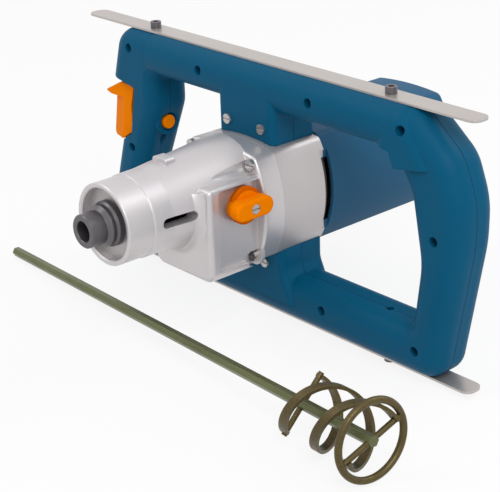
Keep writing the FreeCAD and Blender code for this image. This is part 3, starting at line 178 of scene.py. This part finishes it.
class Tree:
    """A node tree that is filled by one method."""

    def __init__(self, tree: bpy.types.NodeTree) -> None:
        """Takes an empty node tree."""
        self.tree = tree

    def node(self, kind: str, settings: dict[str, Any], inputs: dict[Union[str, int], Input],
             output: Union[str, int] = 0) -> Signal:
        """Adds one node.

        Args:
            kind: Blender's node type.
            settings: Properties that are set first.
            inputs: Values or links by socket name or number.
            output: The socket to return.

        Returns:
            The chosen output.
        """
        made = self.tree.nodes.new(kind)
        for name, value in settings.items():
            setattr(made, name, value)
        for name, value in inputs.items():
            if isinstance(value, Signal):
                self.tree.links.new(value.socket, made.inputs[name])
            else:
                made.inputs[name].default_value = value
        return Signal(self, made.outputs[output] if len(made.outputs) else None)

    def place(self) -> Signal:
        """Where a point is on its node, in metres in the drill's own frame."""
        return self.node("ShaderNodeTexCoord", {}, {}, "Object")

    def stretched(self, scale: Sequence[float]) -> Signal:
        """The place, with each axis multiplied."""
        inputs = {0: self.place(), 1: scale}
        return self.node("ShaderNodeVectorMath", {"operation": "MULTIPLY"}, inputs)

    def noise(self, scale: Sequence[float], detail: float = SOFT_DETAIL) -> Signal:
        """Soft noise from 0 to 1.

        Args:
            scale: Cells per metre along X, Y and Z.
            detail: Octaves of finer noise.

        Returns:
            The noise value.
        """
        inputs = {"Vector": self.stretched(scale), "Scale": 1.0, "Detail": detail}
        return self.node("ShaderNodeTexNoise", {}, inputs, "Fac")

    def between(self, amount: Input, low: Input, high: Input) -> Signal:
        """Mixes two colours.

        Args:
            amount: 0 gives low, 1 gives high.
            low: First colour.
            high: Second colour.

        Returns:
            The mixed colour.
        """
        low, high = (c if isinstance(c, Signal) else (*c, 1.0) for c in (low, high))
        inputs = {MIX_FACTOR: amount, MIX_LOW: low, MIX_HIGH: high}
        return self.node("ShaderNodeMix", {"data_type": "RGBA"}, inputs, MIX_RESULT)

    def step(self, value: Input, start: float, end: float) -> Signal:
        """Smooth rise from 0 at start to 1 at end."""
        inputs = {0: value, 1: start, 2: end}
        return self.node("ShaderNodeMapRange", {"interpolation_type": "SMOOTHSTEP"}, inputs)


class Texture(Enum):
    """How a surface was made, which decides its marks."""

    MOULDED = "moulded"
    CAST = "cast"
    DRAWN = "drawn"
    TURNED = "turned"
    STACKED = "stacked"
    WOUND = "wound"


@dataclass(frozen=True)
class Finish:
    """One material of the drill.

    Attributes:
        slot: The record's name for it.
        colour: Main colour.
        second: Colour that it wanders to.
        texture: How the surface was made.
        metallic: Share of metal.
        roughness: Middle roughness.
        wander: How far the roughness strays.
        grain_mm: Size of its finest marks.
        relief_mm: Depth of those marks.
        edge_mm: Radius of its rounded edges, which also lighten as wear and as a painted
            highlight.
        wear_and_highlight: How much the edges lighten, as wear and as a painted highlight.
        specular: Strength of its plain reflection.
        kind: Ending of the material's name, which tells finishes of one slot apart.
    """

    slot: str
    colour: Colour
    second: Colour
    texture: Texture
    metallic: float = 0.0
    roughness: float = 0.45
    wander: float = 0.08
    grain_mm: float = 0.6
    relief_mm: float = 0.01
    edge_mm: float = 0.5
    wear_and_highlight: float = 0.2
    specular: float = 0.5
    kind: str = ""

    def material(self) -> bpy.types.Material:
        """Builds the node material, once for each finish.

        Returns:
            The material.
        """
        name = "finish_" + self.slot + self.kind
        known = bpy.data.materials.get(name)
        if known:
            return known
        material = bpy.data.materials.new(name)
        material.use_nodes = True
        material.node_tree.nodes.clear()
        tree = Tree(material.node_tree)
        marks, broad = self._marks(tree), tree.noise((BROAD_CELLS,) * 3, RICH_DETAIL)
        rounded = tree.node("ShaderNodeBevel", {"samples": EDGE_SAMPLES},
                            {"Radius": self.edge_mm * MM})
        edge = self._edge(tree, rounded)
        drift = broad * DRIFT_SHARE + marks * MARKS_SHARE
        colour = tree.between(drift, self.colour, self.second)
        # Lighter colour on the edges: partly wear, partly a painted highlight.
        worn_and_highlit = tuple(min(1.0, c * EDGE_WEAR_HIGHLIGHT_GAIN + EDGE_WEAR_HIGHLIGHT_LIFT) for c in self.colour)
        colour = tree.between(edge * self.wear_and_highlight, colour, worn_and_highlit)
        rough = self.roughness + (broad - MIDDLE) * self.wander + (marks - MIDDLE) * self.wander
        relief = tree.node("ShaderNodeBump", {}, {
            "Strength": RELIEF_STRENGTH, "Distance": self.relief_mm * MM,
            "Height": marks, "Normal": rounded})
        shader = tree.node("ShaderNodeBsdfPrincipled", {}, {
            "Base Color": colour, "Roughness": rough, "Metallic": self.metallic,
            "Specular IOR Level": self.specular, "Normal": relief})
        tree.node("ShaderNodeOutputMaterial", {}, {"Surface": shader})
        return material

    @staticmethod
    def _edge(tree: Tree, rounded: Signal) -> Signal:
        """How far the rounded normal leaves the flat one.

        Args:
            tree: The material's tree.
            rounded: The rounded normal.

        Returns:
            0 on faces, 1 on edges.
        """
        flat = tree.node("ShaderNodeNewGeometry", {}, {}, "Normal")
        along = tree.node("ShaderNodeVectorMath", {"operation": "DOT_PRODUCT"},
                          {0: rounded, 1: flat}, "Value")
        return tree.step(1 - along, EDGE_START, EDGE_FULL)

    def _marks(self, tree: Tree) -> Signal:
        """The surface's own marks.

        Args:
            tree: The material's tree.

        Returns:
            The height of the marks, about 0 to 1.
        """
        fine = 1 / (self.grain_mm * MM)
        if self.texture is Texture.DRAWN:
            return tree.noise((fine / DRAWN_STRETCH, fine, fine), RICH_DETAIL)
        if self.texture is Texture.TURNED:
            return tree.noise((fine / TURNED_STRETCH, fine, fine / TURNED_STRETCH), RICH_DETAIL)
        if self.texture is Texture.STACKED:
            return tree.node("ShaderNodeTexWave", {"bands_direction": "Y"}, {
                "Vector": tree.place(), "Scale": fine / SHEET_SPREAD,
                "Distortion": SHEET_WAVER})
        if self.texture is Texture.WOUND:
            return tree.node("ShaderNodeTexWave", {"bands_direction": "DIAGONAL"}, {
                "Vector": tree.place(), "Scale": fine / STRAND_SPREAD,
                "Distortion": STRAND_WAVER, "Detail": SOFT_DETAIL})
        if self.texture is Texture.CAST:
            pits = tree.node("ShaderNodeTexVoronoi", {},
                             {"Vector": tree.place(), "Scale": fine}, "Distance")
            clouds = tree.noise((fine * CLOUD_SCALE,) * 3, RICH_DETAIL)
            return pits * PIT_SHARE + clouds * CLOUD_SHARE
        return tree.noise((fine, fine, fine))


BLUE = Finish(
    "blue_plastic", srgb(0, 78, 110), srgb(6, 86, 120), Texture.MOULDED, roughness=0.46,
    wander=0.06, grain_mm=0.5, relief_mm=0.02, edge_mm=0.8, wear_and_highlight=0.2, specular=0.08)
# Greyer, lighter copy of the frame's blue for the motor housing: painted sheen of the light from
# the right side.
HOUSING_BLUE_PAINTED_SHEEN = replace(
    BLUE, colour=srgb(44, 94, 128), second=srgb(38, 88, 120), kind="_housing")
ORANGE = Finish(
    "orange_plastic", srgb(246, 134, 0), srgb(238, 122, 0), Texture.MOULDED, roughness=0.40,
    wander=0.05, grain_mm=0.7, relief_mm=0.01, edge_mm=0.5, wear_and_highlight=0.15, specular=0.01)
# Darker orange for the knob's foot: painted shade under the knob's bar.
FOOT_ORANGE_PAINTED_SHADE = replace(
    ORANGE, colour=srgb(216, 104, 0), second=srgb(204, 94, 0), kind="_foot")
SILVER = Finish(
    "cast_aluminium", srgb(216, 211, 208), srgb(196, 192, 197), Texture.CAST, metallic=0.62,
    roughness=0.36, wander=0.08, grain_mm=0.7, relief_mm=0.03, edge_mm=0.9, wear_and_highlight=0.4)
# Darker copy of the cast silver for the motor flange: painted shade on the flange.
FLANGE_SILVER_PAINTED_SHADE = replace(
    SILVER, colour=srgb(202, 196, 193), second=srgb(184, 179, 182), metallic=0.6,
    roughness=0.38, kind="_flange")
BAR = Finish(
    "bar_steel", srgb(198, 191, 187), srgb(176, 169, 165), Texture.DRAWN, metallic=0.7,
    roughness=0.36, wander=0.10, grain_mm=0.8, relief_mm=0.01, edge_mm=0.3, wear_and_highlight=0.3)
DARK_STEEL = Finish(
    "spindle_steel", srgb(112, 109, 112), srgb(88, 86, 90), Texture.TURNED, metallic=0.75,
    roughness=0.36, wander=0.08, grain_mm=0.5, relief_mm=0.01, edge_mm=0.4, wear_and_highlight=0.7)
ZINC = Finish(
    "screw_steel", srgb(200, 198, 196), srgb(170, 168, 166), Texture.TURNED, metallic=0.85,
    roughness=0.28, wander=0.08, grain_mm=0.4, relief_mm=0.006, edge_mm=0.25, wear_and_highlight=0.3)
GEAR = Finish(
    "gear_steel", srgb(165, 165, 168), srgb(140, 140, 144), Texture.TURNED, metallic=0.9,
    roughness=0.30, grain_mm=0.4, relief_mm=0.005, edge_mm=0.2, wear_and_highlight=0.3)
BEARING = Finish(
    "bearing_steel", srgb(215, 215, 218), srgb(195, 195, 200), Texture.TURNED, metallic=1.0,
    roughness=0.16, wander=0.05, grain_mm=0.4, relief_mm=0.003, edge_mm=0.2, wear_and_highlight=0.2)
BRONZE = Finish(
    "bush_bronze", srgb(186, 150, 92), srgb(160, 124, 74), Texture.CAST, metallic=0.9,
    roughness=0.42, grain_mm=0.3, relief_mm=0.01, edge_mm=0.2, wear_and_highlight=0.3)
SEAL_CASE = Finish(
    "seal_rubber", srgb(188, 184, 184), srgb(166, 162, 160), Texture.TURNED, metallic=0.6,
    roughness=0.36, grain_mm=0.5, relief_mm=0.01, edge_mm=0.4, kind="_case")
LAMINATION = Finish(
    "lamination", srgb(120, 120, 124), srgb(86, 86, 90), Texture.STACKED, metallic=0.8,
    roughness=0.45, grain_mm=0.5, relief_mm=0.05, edge_mm=0.2, wear_and_highlight=0.2)
COPPER = Finish(
    "copper", srgb(200, 122, 74), srgb(150, 84, 48), Texture.WOUND, metallic=0.85,
    roughness=0.34, grain_mm=0.7, relief_mm=0.12, edge_mm=0.3, wear_and_highlight=0.2)
BLACK = Finish(
    "black_plastic", srgb(34, 34, 36), srgb(26, 26, 28), Texture.MOULDED,
    roughness=0.5, grain_mm=0.5, relief_mm=0.02, edge_mm=0.4, wear_and_highlight=0.2)
CARBON = Finish(
    "carbon", srgb(46, 46, 48), srgb(34, 34, 36), Texture.CAST,
    roughness=0.6, grain_mm=0.3, relief_mm=0.01, edge_mm=0.2, wear_and_highlight=0.2)
SPRING = Finish(
    "spring_steel", srgb(176, 176, 180), srgb(150, 150, 154), Texture.DRAWN, metallic=0.9,
    roughness=0.28, grain_mm=0.4, relief_mm=0.004, edge_mm=0.1, wear_and_highlight=0.2)
# Drawn streaks along the rod, with a dark second colour that also paints the light and dark
# stripes of its facets as shade and highlight.
OLIVE_PAINTED_STRIPES = Finish(
    "paddle_steel", srgb(122, 128, 88), srgb(66, 66, 36), Texture.DRAWN, metallic=0.6,
    roughness=0.36, wander=0.16, grain_mm=1.4, relief_mm=0.03, edge_mm=0.4, wear_and_highlight=0.6)
BRASSY = replace(
    OLIVE_PAINTED_STRIPES, colour=srgb(112, 98, 58), second=srgb(60, 50, 28), texture=Texture.CAST,
    metallic=0.65, wear_and_highlight=0.7, kind="_ribbon")


def dress(finish: Finish, nodes: Iterable[str]) -> None:
    """Gives solids one finish.

    Args:
        finish: The finish.
        nodes: Names of the solids.
    """
    material = finish.material()
    for name in nodes:
        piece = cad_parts[name]
        piece.data.materials.clear()
        piece.data.materials.append(material)
        LOG.info("%s wears %s", name, finish.slot)


@dataclass(frozen=True)
class CoilSpring:
    """A compression spring of round wire that stands for its plain solid.

    Attributes:
        node: The solid that it stands for.
        body: The body that it rides on.
        turns: Number of turns.
        wire_mm: Wire diameter.
        joint: The joint that works it, if any; the coil gets a mesh of its own but is not
            shortened here.
        travel_mm: How far that joint travels; the coil is not shortened by it.
        fixed_high: True where its end at larger X stays in place; not used.
        steps: Points in one turn.
    """

    node: str
    body: str
    turns: float
    wire_mm: float
    joint: Optional[str] = None
    travel_mm: float = 0.0
    fixed_high: bool = True
    steps: int = 24

    def build(self) -> None:
        """Makes the coil, or the pair of coils, along X inside the solid's own box."""
        low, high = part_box(self.node)
        two_sided = low.x < 0 < high.x
        length = self._side_length()
        spans = [(low.x, low.x + length), (high.x - length, high.x)]
        for number, (start, end) in enumerate(spans if two_sided else [(low.x, high.x)]):
            name = self.node + "_coil" + (f"_{number + 1}" if two_sided else "")
            self._coil(name, start, end, low, high)

    def _side_length(self) -> float:
        """Length of one spring where the node holds a pair.

        Returns:
            The length along X, in metres.
        """
        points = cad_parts[self.node].data.vertices
        positive = [point.co.x for point in points if point.co.x > 0]
        return max(positive) - min(positive) if positive else 0.0

    def _coil(self, name: str, start: float, end: float, low: Vector, high: Vector) -> None:
        """Makes one spring.

        Args:
            name: Name of the piece.
            start: X of one end.
            end: X of the other end.
            low: Lowest corner of the solid.
            high: Highest corner of the solid.
        """
        coil = bpy.data.objects.new(name, self._wound(name, start, end, low, high))
        bpy.context.scene.collection.objects.link(coil)
        coil.data.materials.append(SPRING.material())
        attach(coil, self.body)
        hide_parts(self.node)
        if self.joint:
            keep = 1 - self.travel_mm * MM / (end - start)
            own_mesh(coil)
        LOG.info("%s stands for %s", name, self.node)

    def _wound(self, name: str, start: float, end: float, low: Vector,
               high: Vector) -> bpy.types.Mesh:
        """Winds the wire.

        Args:
            name: Name of the piece.
            start: X of one end.
            end: X of the other end.
            low: Lowest corner of the solid.
            high: Highest corner of the solid.

        Returns:
            The wire's mesh.
        """
        wire = self.wire_mm * MM / 2
        centre = (low + high) / 2
        radius = (high.z - low.z) / 2 - wire
        count = int(self.turns * self.steps)
        curve = bpy.data.curves.new(name, "CURVE")
        curve.dimensions = "3D"
        curve.bevel_depth = wire
        curve.bevel_resolution = WIRE_RESOLUTION
        curve.use_fill_caps = True
        spline = curve.splines.new("POLY")
        spline.points.add(count)
        for i, point in enumerate(spline.points):
            angle = 2 * math.pi * self.turns * i / count
            x = start + wire + (end - start - 2 * wire) * i / count
            y = centre.y + radius * math.cos(angle)
            z = centre.z + radius * math.sin(angle)
            point.co = (x, y, z, 1.0)
        tube = bpy.data.objects.new(name + "_line", curve)
        bpy.context.scene.collection.objects.link(tube)
        bpy.context.view_layer.update()
        graph = bpy.context.evaluated_depsgraph_get()
        mesh = bpy.data.meshes.new_from_object(tube.evaluated_get(graph))
        bpy.data.objects.remove(tube)
        mesh.shade_smooth()
        return mesh


def prism(name: str, finish: Finish, body: str, rear: Sequence[Vector], lead: Sequence[Vector],
          edge_mm: float, smooth: bool = True) -> None:
    """Makes one closed piece between two outlines, with a rounded edge round the second.

    Args:
        name: Name of the piece.
        finish: What it wears.
        body: The body that it rides on.
        rear: Outline of its back.
        lead: Outline of its front, point for point.
        edge_mm: Rounding of the front edge.
        smooth: True where its sides curve.
    """
    shape = bmesh.new()
    back, front = ([shape.verts.new(point) for point in outline] for outline in (rear, lead))
    shape.faces.new(list(reversed(back)))
    lid = shape.faces.new(front)
    for i in range(len(back)):
        shape.faces.new((back[i - 1], back[i], front[i], front[i - 1])).smooth = smooth
    bmesh.ops.bevel(shape, geom=list(lid.edges), offset=edge_mm * MM, segments=ROUND_STEPS,
                    profile=ROUND_PROFILE, affect="EDGES")
    bmesh.ops.recalc_face_normals(shape, faces=shape.faces)
    mesh = bpy.data.meshes.new(name)
    shape.to_mesh(mesh)
    shape.free()
    piece = bpy.data.objects.new(name, mesh)
    bpy.context.scene.collection.objects.link(piece)
    mesh.materials.append(finish.material())
    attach(piece, body)
    LOG.info("%s rides on %s", name, body)


@dataclass(frozen=True)
class KnobFoot:
    """The selector knob's wide round foot and the stem between foot and bar.

    Attributes:
        node: The solid knob that it belongs to.
        body: The body that it rides on.
        foot_mm: Radius of the foot.
        stem_mm: Half length and half width of the stem.
        depths_mm: Common back, foot's front and stem's front, behind the knob's face.
        edge_mm: Rounding of the front edges.
        steps: Points round a full turn.
    """

    node: str = "selector_knob"
    body: str = "selector"
    foot_mm: float = 16.6
    stem_mm: tuple[float, float] = (18.8, 8.5)
    depths_mm: tuple[float, float, float] = (17.1, 12.6, 9.9)
    edge_mm: float = 0.5
    steps: int = 96

    def build(self) -> None:
        """Makes the foot and the stem round the knob's axis."""
        low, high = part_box(self.node)
        centre = (low + high) / 2
        back, middle, front = (high.x - depth * MM for depth in self.depths_mm)
        half_length, half_width = self.stem_mm
        foot = self._outline(0.0, self.foot_mm)
        stem = self._outline(half_length - half_width, half_width)
        # The foot wears the darker orange: painted shade under the bar.
        pieces = (("selector_knob_foot", FOOT_ORANGE_PAINTED_SHADE, foot, middle),
                  ("selector_knob_stem", ORANGE, stem, front))
        for name, finish, outline, face in pieces:
            rear, lead = ([Vector((x, centre.y + y, centre.z + z)) for y, z in outline]
                          for x in (back, face))
            prism(name, finish, self.body, rear, lead, self.edge_mm)

    def _outline(self, straight: float, radius: float) -> list[tuple[float, float]]:
        """A circle, or a bar with round ends.

        Args:
            straight: Half length of the straight sides, in mm.
            radius: Radius of the ends, in mm.

        Returns:
            Points along Y and Z, in metres.
        """
        points = []
        for i in range(self.steps):
            angle = 2 * math.pi * i / self.steps
            along = math.copysign(straight, math.cos(angle)) + radius * math.cos(angle)
            points.append((along * MM, radius * math.sin(angle) * MM))
        return points


@dataclass(frozen=True)
class TriggerCheek:
    """The rear half's thin cheek beside the trigger, which closes the view through its slot.

    Attributes:
        corners_mm: Outline along X and Z.
        depth_mm: Y of its inner and outer face.
        edge_mm: Rounding of the outer edge.
    """

    corners_mm: tuple[tuple[float, float], ...] = (
        (-170.5, 5.0), (-161.0, 46.0), (-177.0, 46.0), (-184.0, 5.0))
    depth_mm: tuple[float, float] = (224.0, 227.2)
    edge_mm: float = 0.6

    def build(self) -> None:
        """Makes the cheek."""
        rear, lead = ([Vector((x, y, z)) * MM for x, z in self.corners_mm] for y in self.depth_mm)
        prism("trigger_cheek", BLUE, "body", rear, lead, self.edge_mm, smooth=False)


@dataclass
class HandleFrame:
    """The clamshell frame with its screws, guard bars and cable gland.

    Attributes:
        shells: The two halves.
        bars: The guard bars.
        dark_screws: Screws of the halves and the bars.
        bright_screws: Screws of the centre pillar and nuts of the bars.
        gland: The cable gland.
        cheek: The cheek beside the trigger.
    """

    shells: tuple[str, ...] = ("handle_frame_front", "handle_frame_rear")
    bars: tuple[str, ...] = ("top_bar", "bottom_bar")
    dark_screws: tuple[str, ...] = ("handle_screws", "bar_screws")
    bright_screws: tuple[str, ...] = ("panel_screws", "bar_nuts")
    gland: tuple[str, ...] = ("cable_gland",)
    cheek: TriggerCheek = TriggerCheek()

    def build(self) -> None:
        """Dresses the frame's solids and adds the cheek."""
        dress(BLUE, self.shells)
        dress(BAR, self.bars)
        dress(DARK_STEEL, self.dark_screws)
        dress(ZINC, self.bright_screws)
        dress(BLACK, self.gland)
        self.cheek.build()


@dataclass
class GearBox:
    """The castings, the spindle with its bearings, the gears and the selector.

    Attributes:
        castings: The gear case and the plate in it.
        flange: The flange between gear case and motor.
        spindle: The spindle.
        gears: Gears, shafts and the clutch collar.
        bearings: The spindle's bearings.
        bushes: The layshaft's bushes.
        screws: Screws and the retaining ring.
        seal: The seal ring in the nose.
        knob: The selector knob.
        knob_foot: The knob's foot and stem.
    """

    castings: tuple[str, ...] = ("gear_case", "bearing_plate")
    flange: tuple[str, ...] = ("motor_flange",)
    spindle: tuple[str, ...] = ("spindle",)
    gears: tuple[str, ...] = ("slow_gear", "fast_gear", "clutch_collar", "layshaft",
                              "fast_pinion", "layshaft_wheel", "selector_shaft")
    bearings: tuple[str, ...] = ("spindle_front_bearing", "spindle_rear_bearing")
    bushes: tuple[str, ...] = ("layshaft_front_bush", "layshaft_rear_bush")
    screws: tuple[str, ...] = ("gear_case_screws", "knob_screw", "bearing_circlip")
    seal: tuple[str, ...] = ("spindle_seal",)
    knob: tuple[str, ...] = ("selector_knob",)
    knob_foot: KnobFoot = KnobFoot()

    def build(self) -> None:
        """Dresses the gear box's solids and adds the knob's foot."""
        dress(SILVER, self.castings)
        # The flange wears the darker silver: painted shade.
        dress(FLANGE_SILVER_PAINTED_SHADE, self.flange)
        dress(DARK_STEEL, self.spindle)
        dress(GEAR, self.gears)
        dress(BEARING, self.bearings)
        dress(BRONZE, self.bushes)
        dress(ZINC, self.screws)
        dress(SEAL_CASE, self.seal)
        dress(ORANGE, self.knob)
        self.knob_foot.build()


@dataclass
class Motor:
    """The motor with its housing, armature, field and brushes.

    Attributes:
        shells: The housing and its end cap.
        iron: The laminated cores.
        windings: The windings and the commutator.
        shaft: The armature's shaft.
        bearings: The armature's bearings.
        mouldings: Black plastic pieces.
        holders: The brush holders.
        brushes: The carbon brushes.
        screws: Screws of the end cap.
        brush_springs: The springs behind the brushes.
    """

    shells: tuple[str, ...] = ("motor_housing", "motor_end_cap")
    iron: tuple[str, ...] = ("armature_core", "stator_core")
    windings: tuple[str, ...] = ("armature_windings", "field_coils", "commutator")
    shaft: tuple[str, ...] = ("armature_shaft",)
    bearings: tuple[str, ...] = ("motor_front_bearing", "motor_rear_bearing")
    mouldings: tuple[str, ...] = ("air_baffle", "cooling_fan", "brush_caps")
    holders: tuple[str, ...] = ("brush_holders",)
    brushes: tuple[str, ...] = ("carbon_brushes",)
    screws: tuple[str, ...] = ("end_cap_screws",)
    brush_springs: CoilSpring = CoilSpring("brush_springs", "body", turns=9, wire_mm=0.6)

    def build(self) -> None:
        """Dresses the motor's solids and winds the brush springs."""
        # The housing and end cap wear the lighter blue with painted sheen.
        dress(HOUSING_BLUE_PAINTED_SHEEN, self.shells)
        dress(LAMINATION, self.iron)
        dress(COPPER, self.windings)
        dress(GEAR, self.shaft)
        dress(BEARING, self.bearings)
        dress(BLACK, self.mouldings)
        dress(BRONZE, self.holders)
        dress(CARBON, self.brushes)
        dress(ZINC, self.screws)
        dress(SPRING, (self.brush_springs.node,))
        self.brush_springs.build()


@dataclass
class Controls:
    """The trigger, the lock button, the switch behind them and their springs.

    Attributes:
        buttons: The two pieces that are pressed.
        switch: The switch body.
        trigger_spring: The spring behind the trigger.
        button_spring: The spring behind the lock button.
    """

    buttons: tuple[str, ...] = ("trigger", "lock_button")
    switch: tuple[str, ...] = ("switch_body",)
    trigger_spring: CoilSpring = CoilSpring(
        "trigger_spring", "body", turns=7, wire_mm=0.9, joint="trigger_pull", travel_mm=7.0)
    button_spring: CoilSpring = CoilSpring(
        "button_spring", "body", turns=6, wire_mm=0.8, joint="lock_button_press", travel_mm=3.0,
        fixed_high=False)

    def build(self) -> None:
        """Dresses the controls and winds their springs."""
        dress(ORANGE, self.buttons)
        dress(BLACK, self.switch)
        for spring in (self.trigger_spring, self.button_spring):
            dress(SPRING, (spring.node,))
            spring.build()


@dataclass
class MixingPaddle:
    """The loose paddle in front of the drill.

    Attributes:
        rod: The rod.
        ribbons: The ribbons, their prongs and the end ring.
    """

    rod: tuple[str, ...] = ("paddle_rod",)
    ribbons: tuple[str, ...] = ("paddle_blades", "paddle_prongs", "paddle_ring")

    def build(self) -> None:
        """Dresses the paddle's solids."""
        dress(OLIVE_PAINTED_STRIPES, self.rod)
        dress(BRASSY, self.ribbons)


@dataclass(frozen=True)
class Lamp:
    """A soft square lamp that looks at the drill.

    Attributes:
        name: Name of the lamp.
        place: Where it hangs, in metres.
        size: Its side, in metres.
        power: Its power, in watts.
        aim: The point that it looks at, in metres.
    """

    name: str
    place: tuple[float, float, float]
    size: float
    power: float
    aim: tuple[float, float, float] = (0.0, 0.2, -0.02)

    def build(self) -> None:
        """Hangs the lamp."""
        data = bpy.data.lights.new(self.name, "AREA")
        data.size = self.size
        data.energy = self.power
        lamp = bpy.data.objects.new(self.name, data)
        lamp.location = self.place
        lamp.rotation_mode = "QUATERNION"
        gaze = Vector(self.aim) - Vector(self.place)
        lamp.rotation_quaternion = gaze.to_track_quat("-Z", "Y")
        bpy.context.scene.collection.objects.link(lamp)


@dataclass
class Studio:
    """Floor, world, lamps and the camera at the picture's viewing angle.

    Attributes:
        floor_half: Half the floor's side, in metres.
        floor_white: Brightness of the floor.
        floor_dip: Brightness of its darkest grain, as a share of that.
        floor_cells: Grains per metre.
        floor_glow: Share of plain white where the floor is seen.
        sky: Strength of the even light.
        seen_white: Strength that a picture shows as white.
        camera_place_mm: Where the camera stands.
        azimuth: Its angle round the drill, in degrees.
        elevation: Its angle above the floor, in degrees.
        roll: Its lean, in degrees.
        focal_px: Its focal length, in pixels of the picture.
        sensor_mm: Width of its sensor.
        clip: Nearest and farthest distance that it sees, in metres.
        lamps: The lamps.
    """

    floor_half: float = 6.0
    floor_white: float = 0.86
    floor_dip: float = 0.99
    floor_cells: float = 30.0
    floor_glow: float = 0.86
    sky: float = 0.62
    seen_white: float = 1.0
    camera_place_mm: tuple[float, float, float] = (934.99, -623.61, 460.18)
    azimuth: float = 49.372
    elevation: float = 23.187
    roll: float = -2.09
    focal_px: float = 1484.59
    sensor_mm: float = 36.0
    clip: tuple[float, float] = (0.01, 50.0)
    lamps: tuple[Lamp, ...] = (
        Lamp("key_lamp", (1.6, -0.7, 1.6), 1.2, 24.0),
        Lamp("side_lamp", (-1.2, -0.9, 1.8), 1.0, 8.0),
        Lamp("back_lamp", (0.6, 1.8, 1.4), 1.2, 10.0),
    )

    def build(self) -> None:
        """Sets up everything round the drill."""
        bpy.context.scene.view_settings.view_transform = "Standard"
        self._floor()
        self._world()
        for lamp in self.lamps:
            lamp.build()
        self._camera()

    @staticmethod
    def _seen(tree: Tree) -> Signal:
        """Tells rays from the camera, mirrors and glass from rays that light the drill.

        Args:
            tree: The tree that needs it.

        Returns:
            1 for rays that are seen, else 0.
        """
        rays = [tree.node("ShaderNodeLightPath", {}, {}, name)
                for name in ("Is Camera Ray", "Is Glossy Ray", "Is Transmission Ray")]
        return rays[0].either(rays[1]).either(rays[2])

    def _floor(self) -> None:
        """Lays the plain pale floor under the lowest point."""
        low = CAD_BOX[0].z
        half = self.floor_half
        mesh = bpy.data.meshes.new("floor")
        corners = [(-half, -half, low), (half, -half, low), (half, half, low), (-half, half, low)]
        mesh.from_pydata(corners, [], [(0, 1, 2, 3)])
        floor = bpy.data.objects.new("floor", mesh)
        bpy.context.scene.collection.objects.link(floor)
        floor.data.materials.append(self._floor_material())

    def _floor_material(self) -> bpy.types.Material:
        """Builds the floor's material.

        Returns:
            A pale matt surface that is nearly white where it is seen.
        """
        material = bpy.data.materials.new("pale_floor")
        material.use_nodes = True
        material.node_tree.nodes.clear()
        tree = Tree(material.node_tree)
        grain = tree.noise((self.floor_cells,) * 3)
        pale, dim = (self.floor_white,) * 3, (self.floor_white * self.floor_dip,) * 3
        matt = tree.node("ShaderNodeBsdfDiffuse", {}, {"Color": tree.between(grain, pale, dim)})
        glow = tree.node("ShaderNodeEmission", {}, {"Color": WHITE, "Strength": self.seen_white})
        share = self._seen(tree) * self.floor_glow
        mixed = tree.node("ShaderNodeMixShader", {}, {0: share, 1: matt, 2: glow})
        tree.node("ShaderNodeOutputMaterial", {}, {"Surface": mixed})
        return material

    def _world(self) -> None:
        """Gives even light from all round, white where it is seen."""
        world = bpy.data.worlds.new("studio")
        bpy.context.scene.world = world
        world.use_nodes = True
        world.node_tree.nodes.clear()
        tree = Tree(world.node_tree)
        light, white = (tree.node("ShaderNodeBackground", {}, {"Color": WHITE, "Strength": power})
                        for power in (self.sky, self.seen_white))
        mixed = tree.node("ShaderNodeMixShader", {}, {0: self._seen(tree), 1: light, 2: white})
        tree.node("ShaderNodeOutputWorld", {}, {"Surface": mixed})

    def _camera(self) -> None:
        """Sets the camera to the picture's place, angle and lens."""
        turn, rise, lean = (math.radians(a) for a in (self.azimuth, self.elevation, self.roll))
        back = Vector((math.sin(turn) * math.cos(rise), -math.cos(turn) * math.cos(rise),
                       math.sin(rise)))
        level = Vector((math.cos(turn), math.sin(turn), 0))
        upright = back.cross(level)
        right = level * math.cos(lean) + upright * math.sin(lean)
        up = back.cross(right)
        data = bpy.data.cameras.new("camera")
        data.sensor_width = self.sensor_mm
        data.lens = self.focal_px * self.sensor_mm / IMAGE_WIDTH
        data.clip_start, data.clip_end = self.clip
        camera = bpy.data.objects.new("camera", data)
        turned = Matrix((right, up, back)).transposed().to_4x4()
        camera.matrix_world = Matrix.Translation(Vector(self.camera_place_mm) * MM) @ turned
        bpy.context.scene.collection.objects.link(camera)
        bpy.context.scene.camera = camera


def main() -> None:
    """Builds the sub-assemblies in order, then the studio."""
    logging.basicConfig(level=logging.INFO, format="%(name)s: %(message)s")
    for part in (HandleFrame(), GearBox(), Motor(), Controls(), MixingPaddle(), Studio()):
        part.build()


if __name__ == "__main__":
    main()
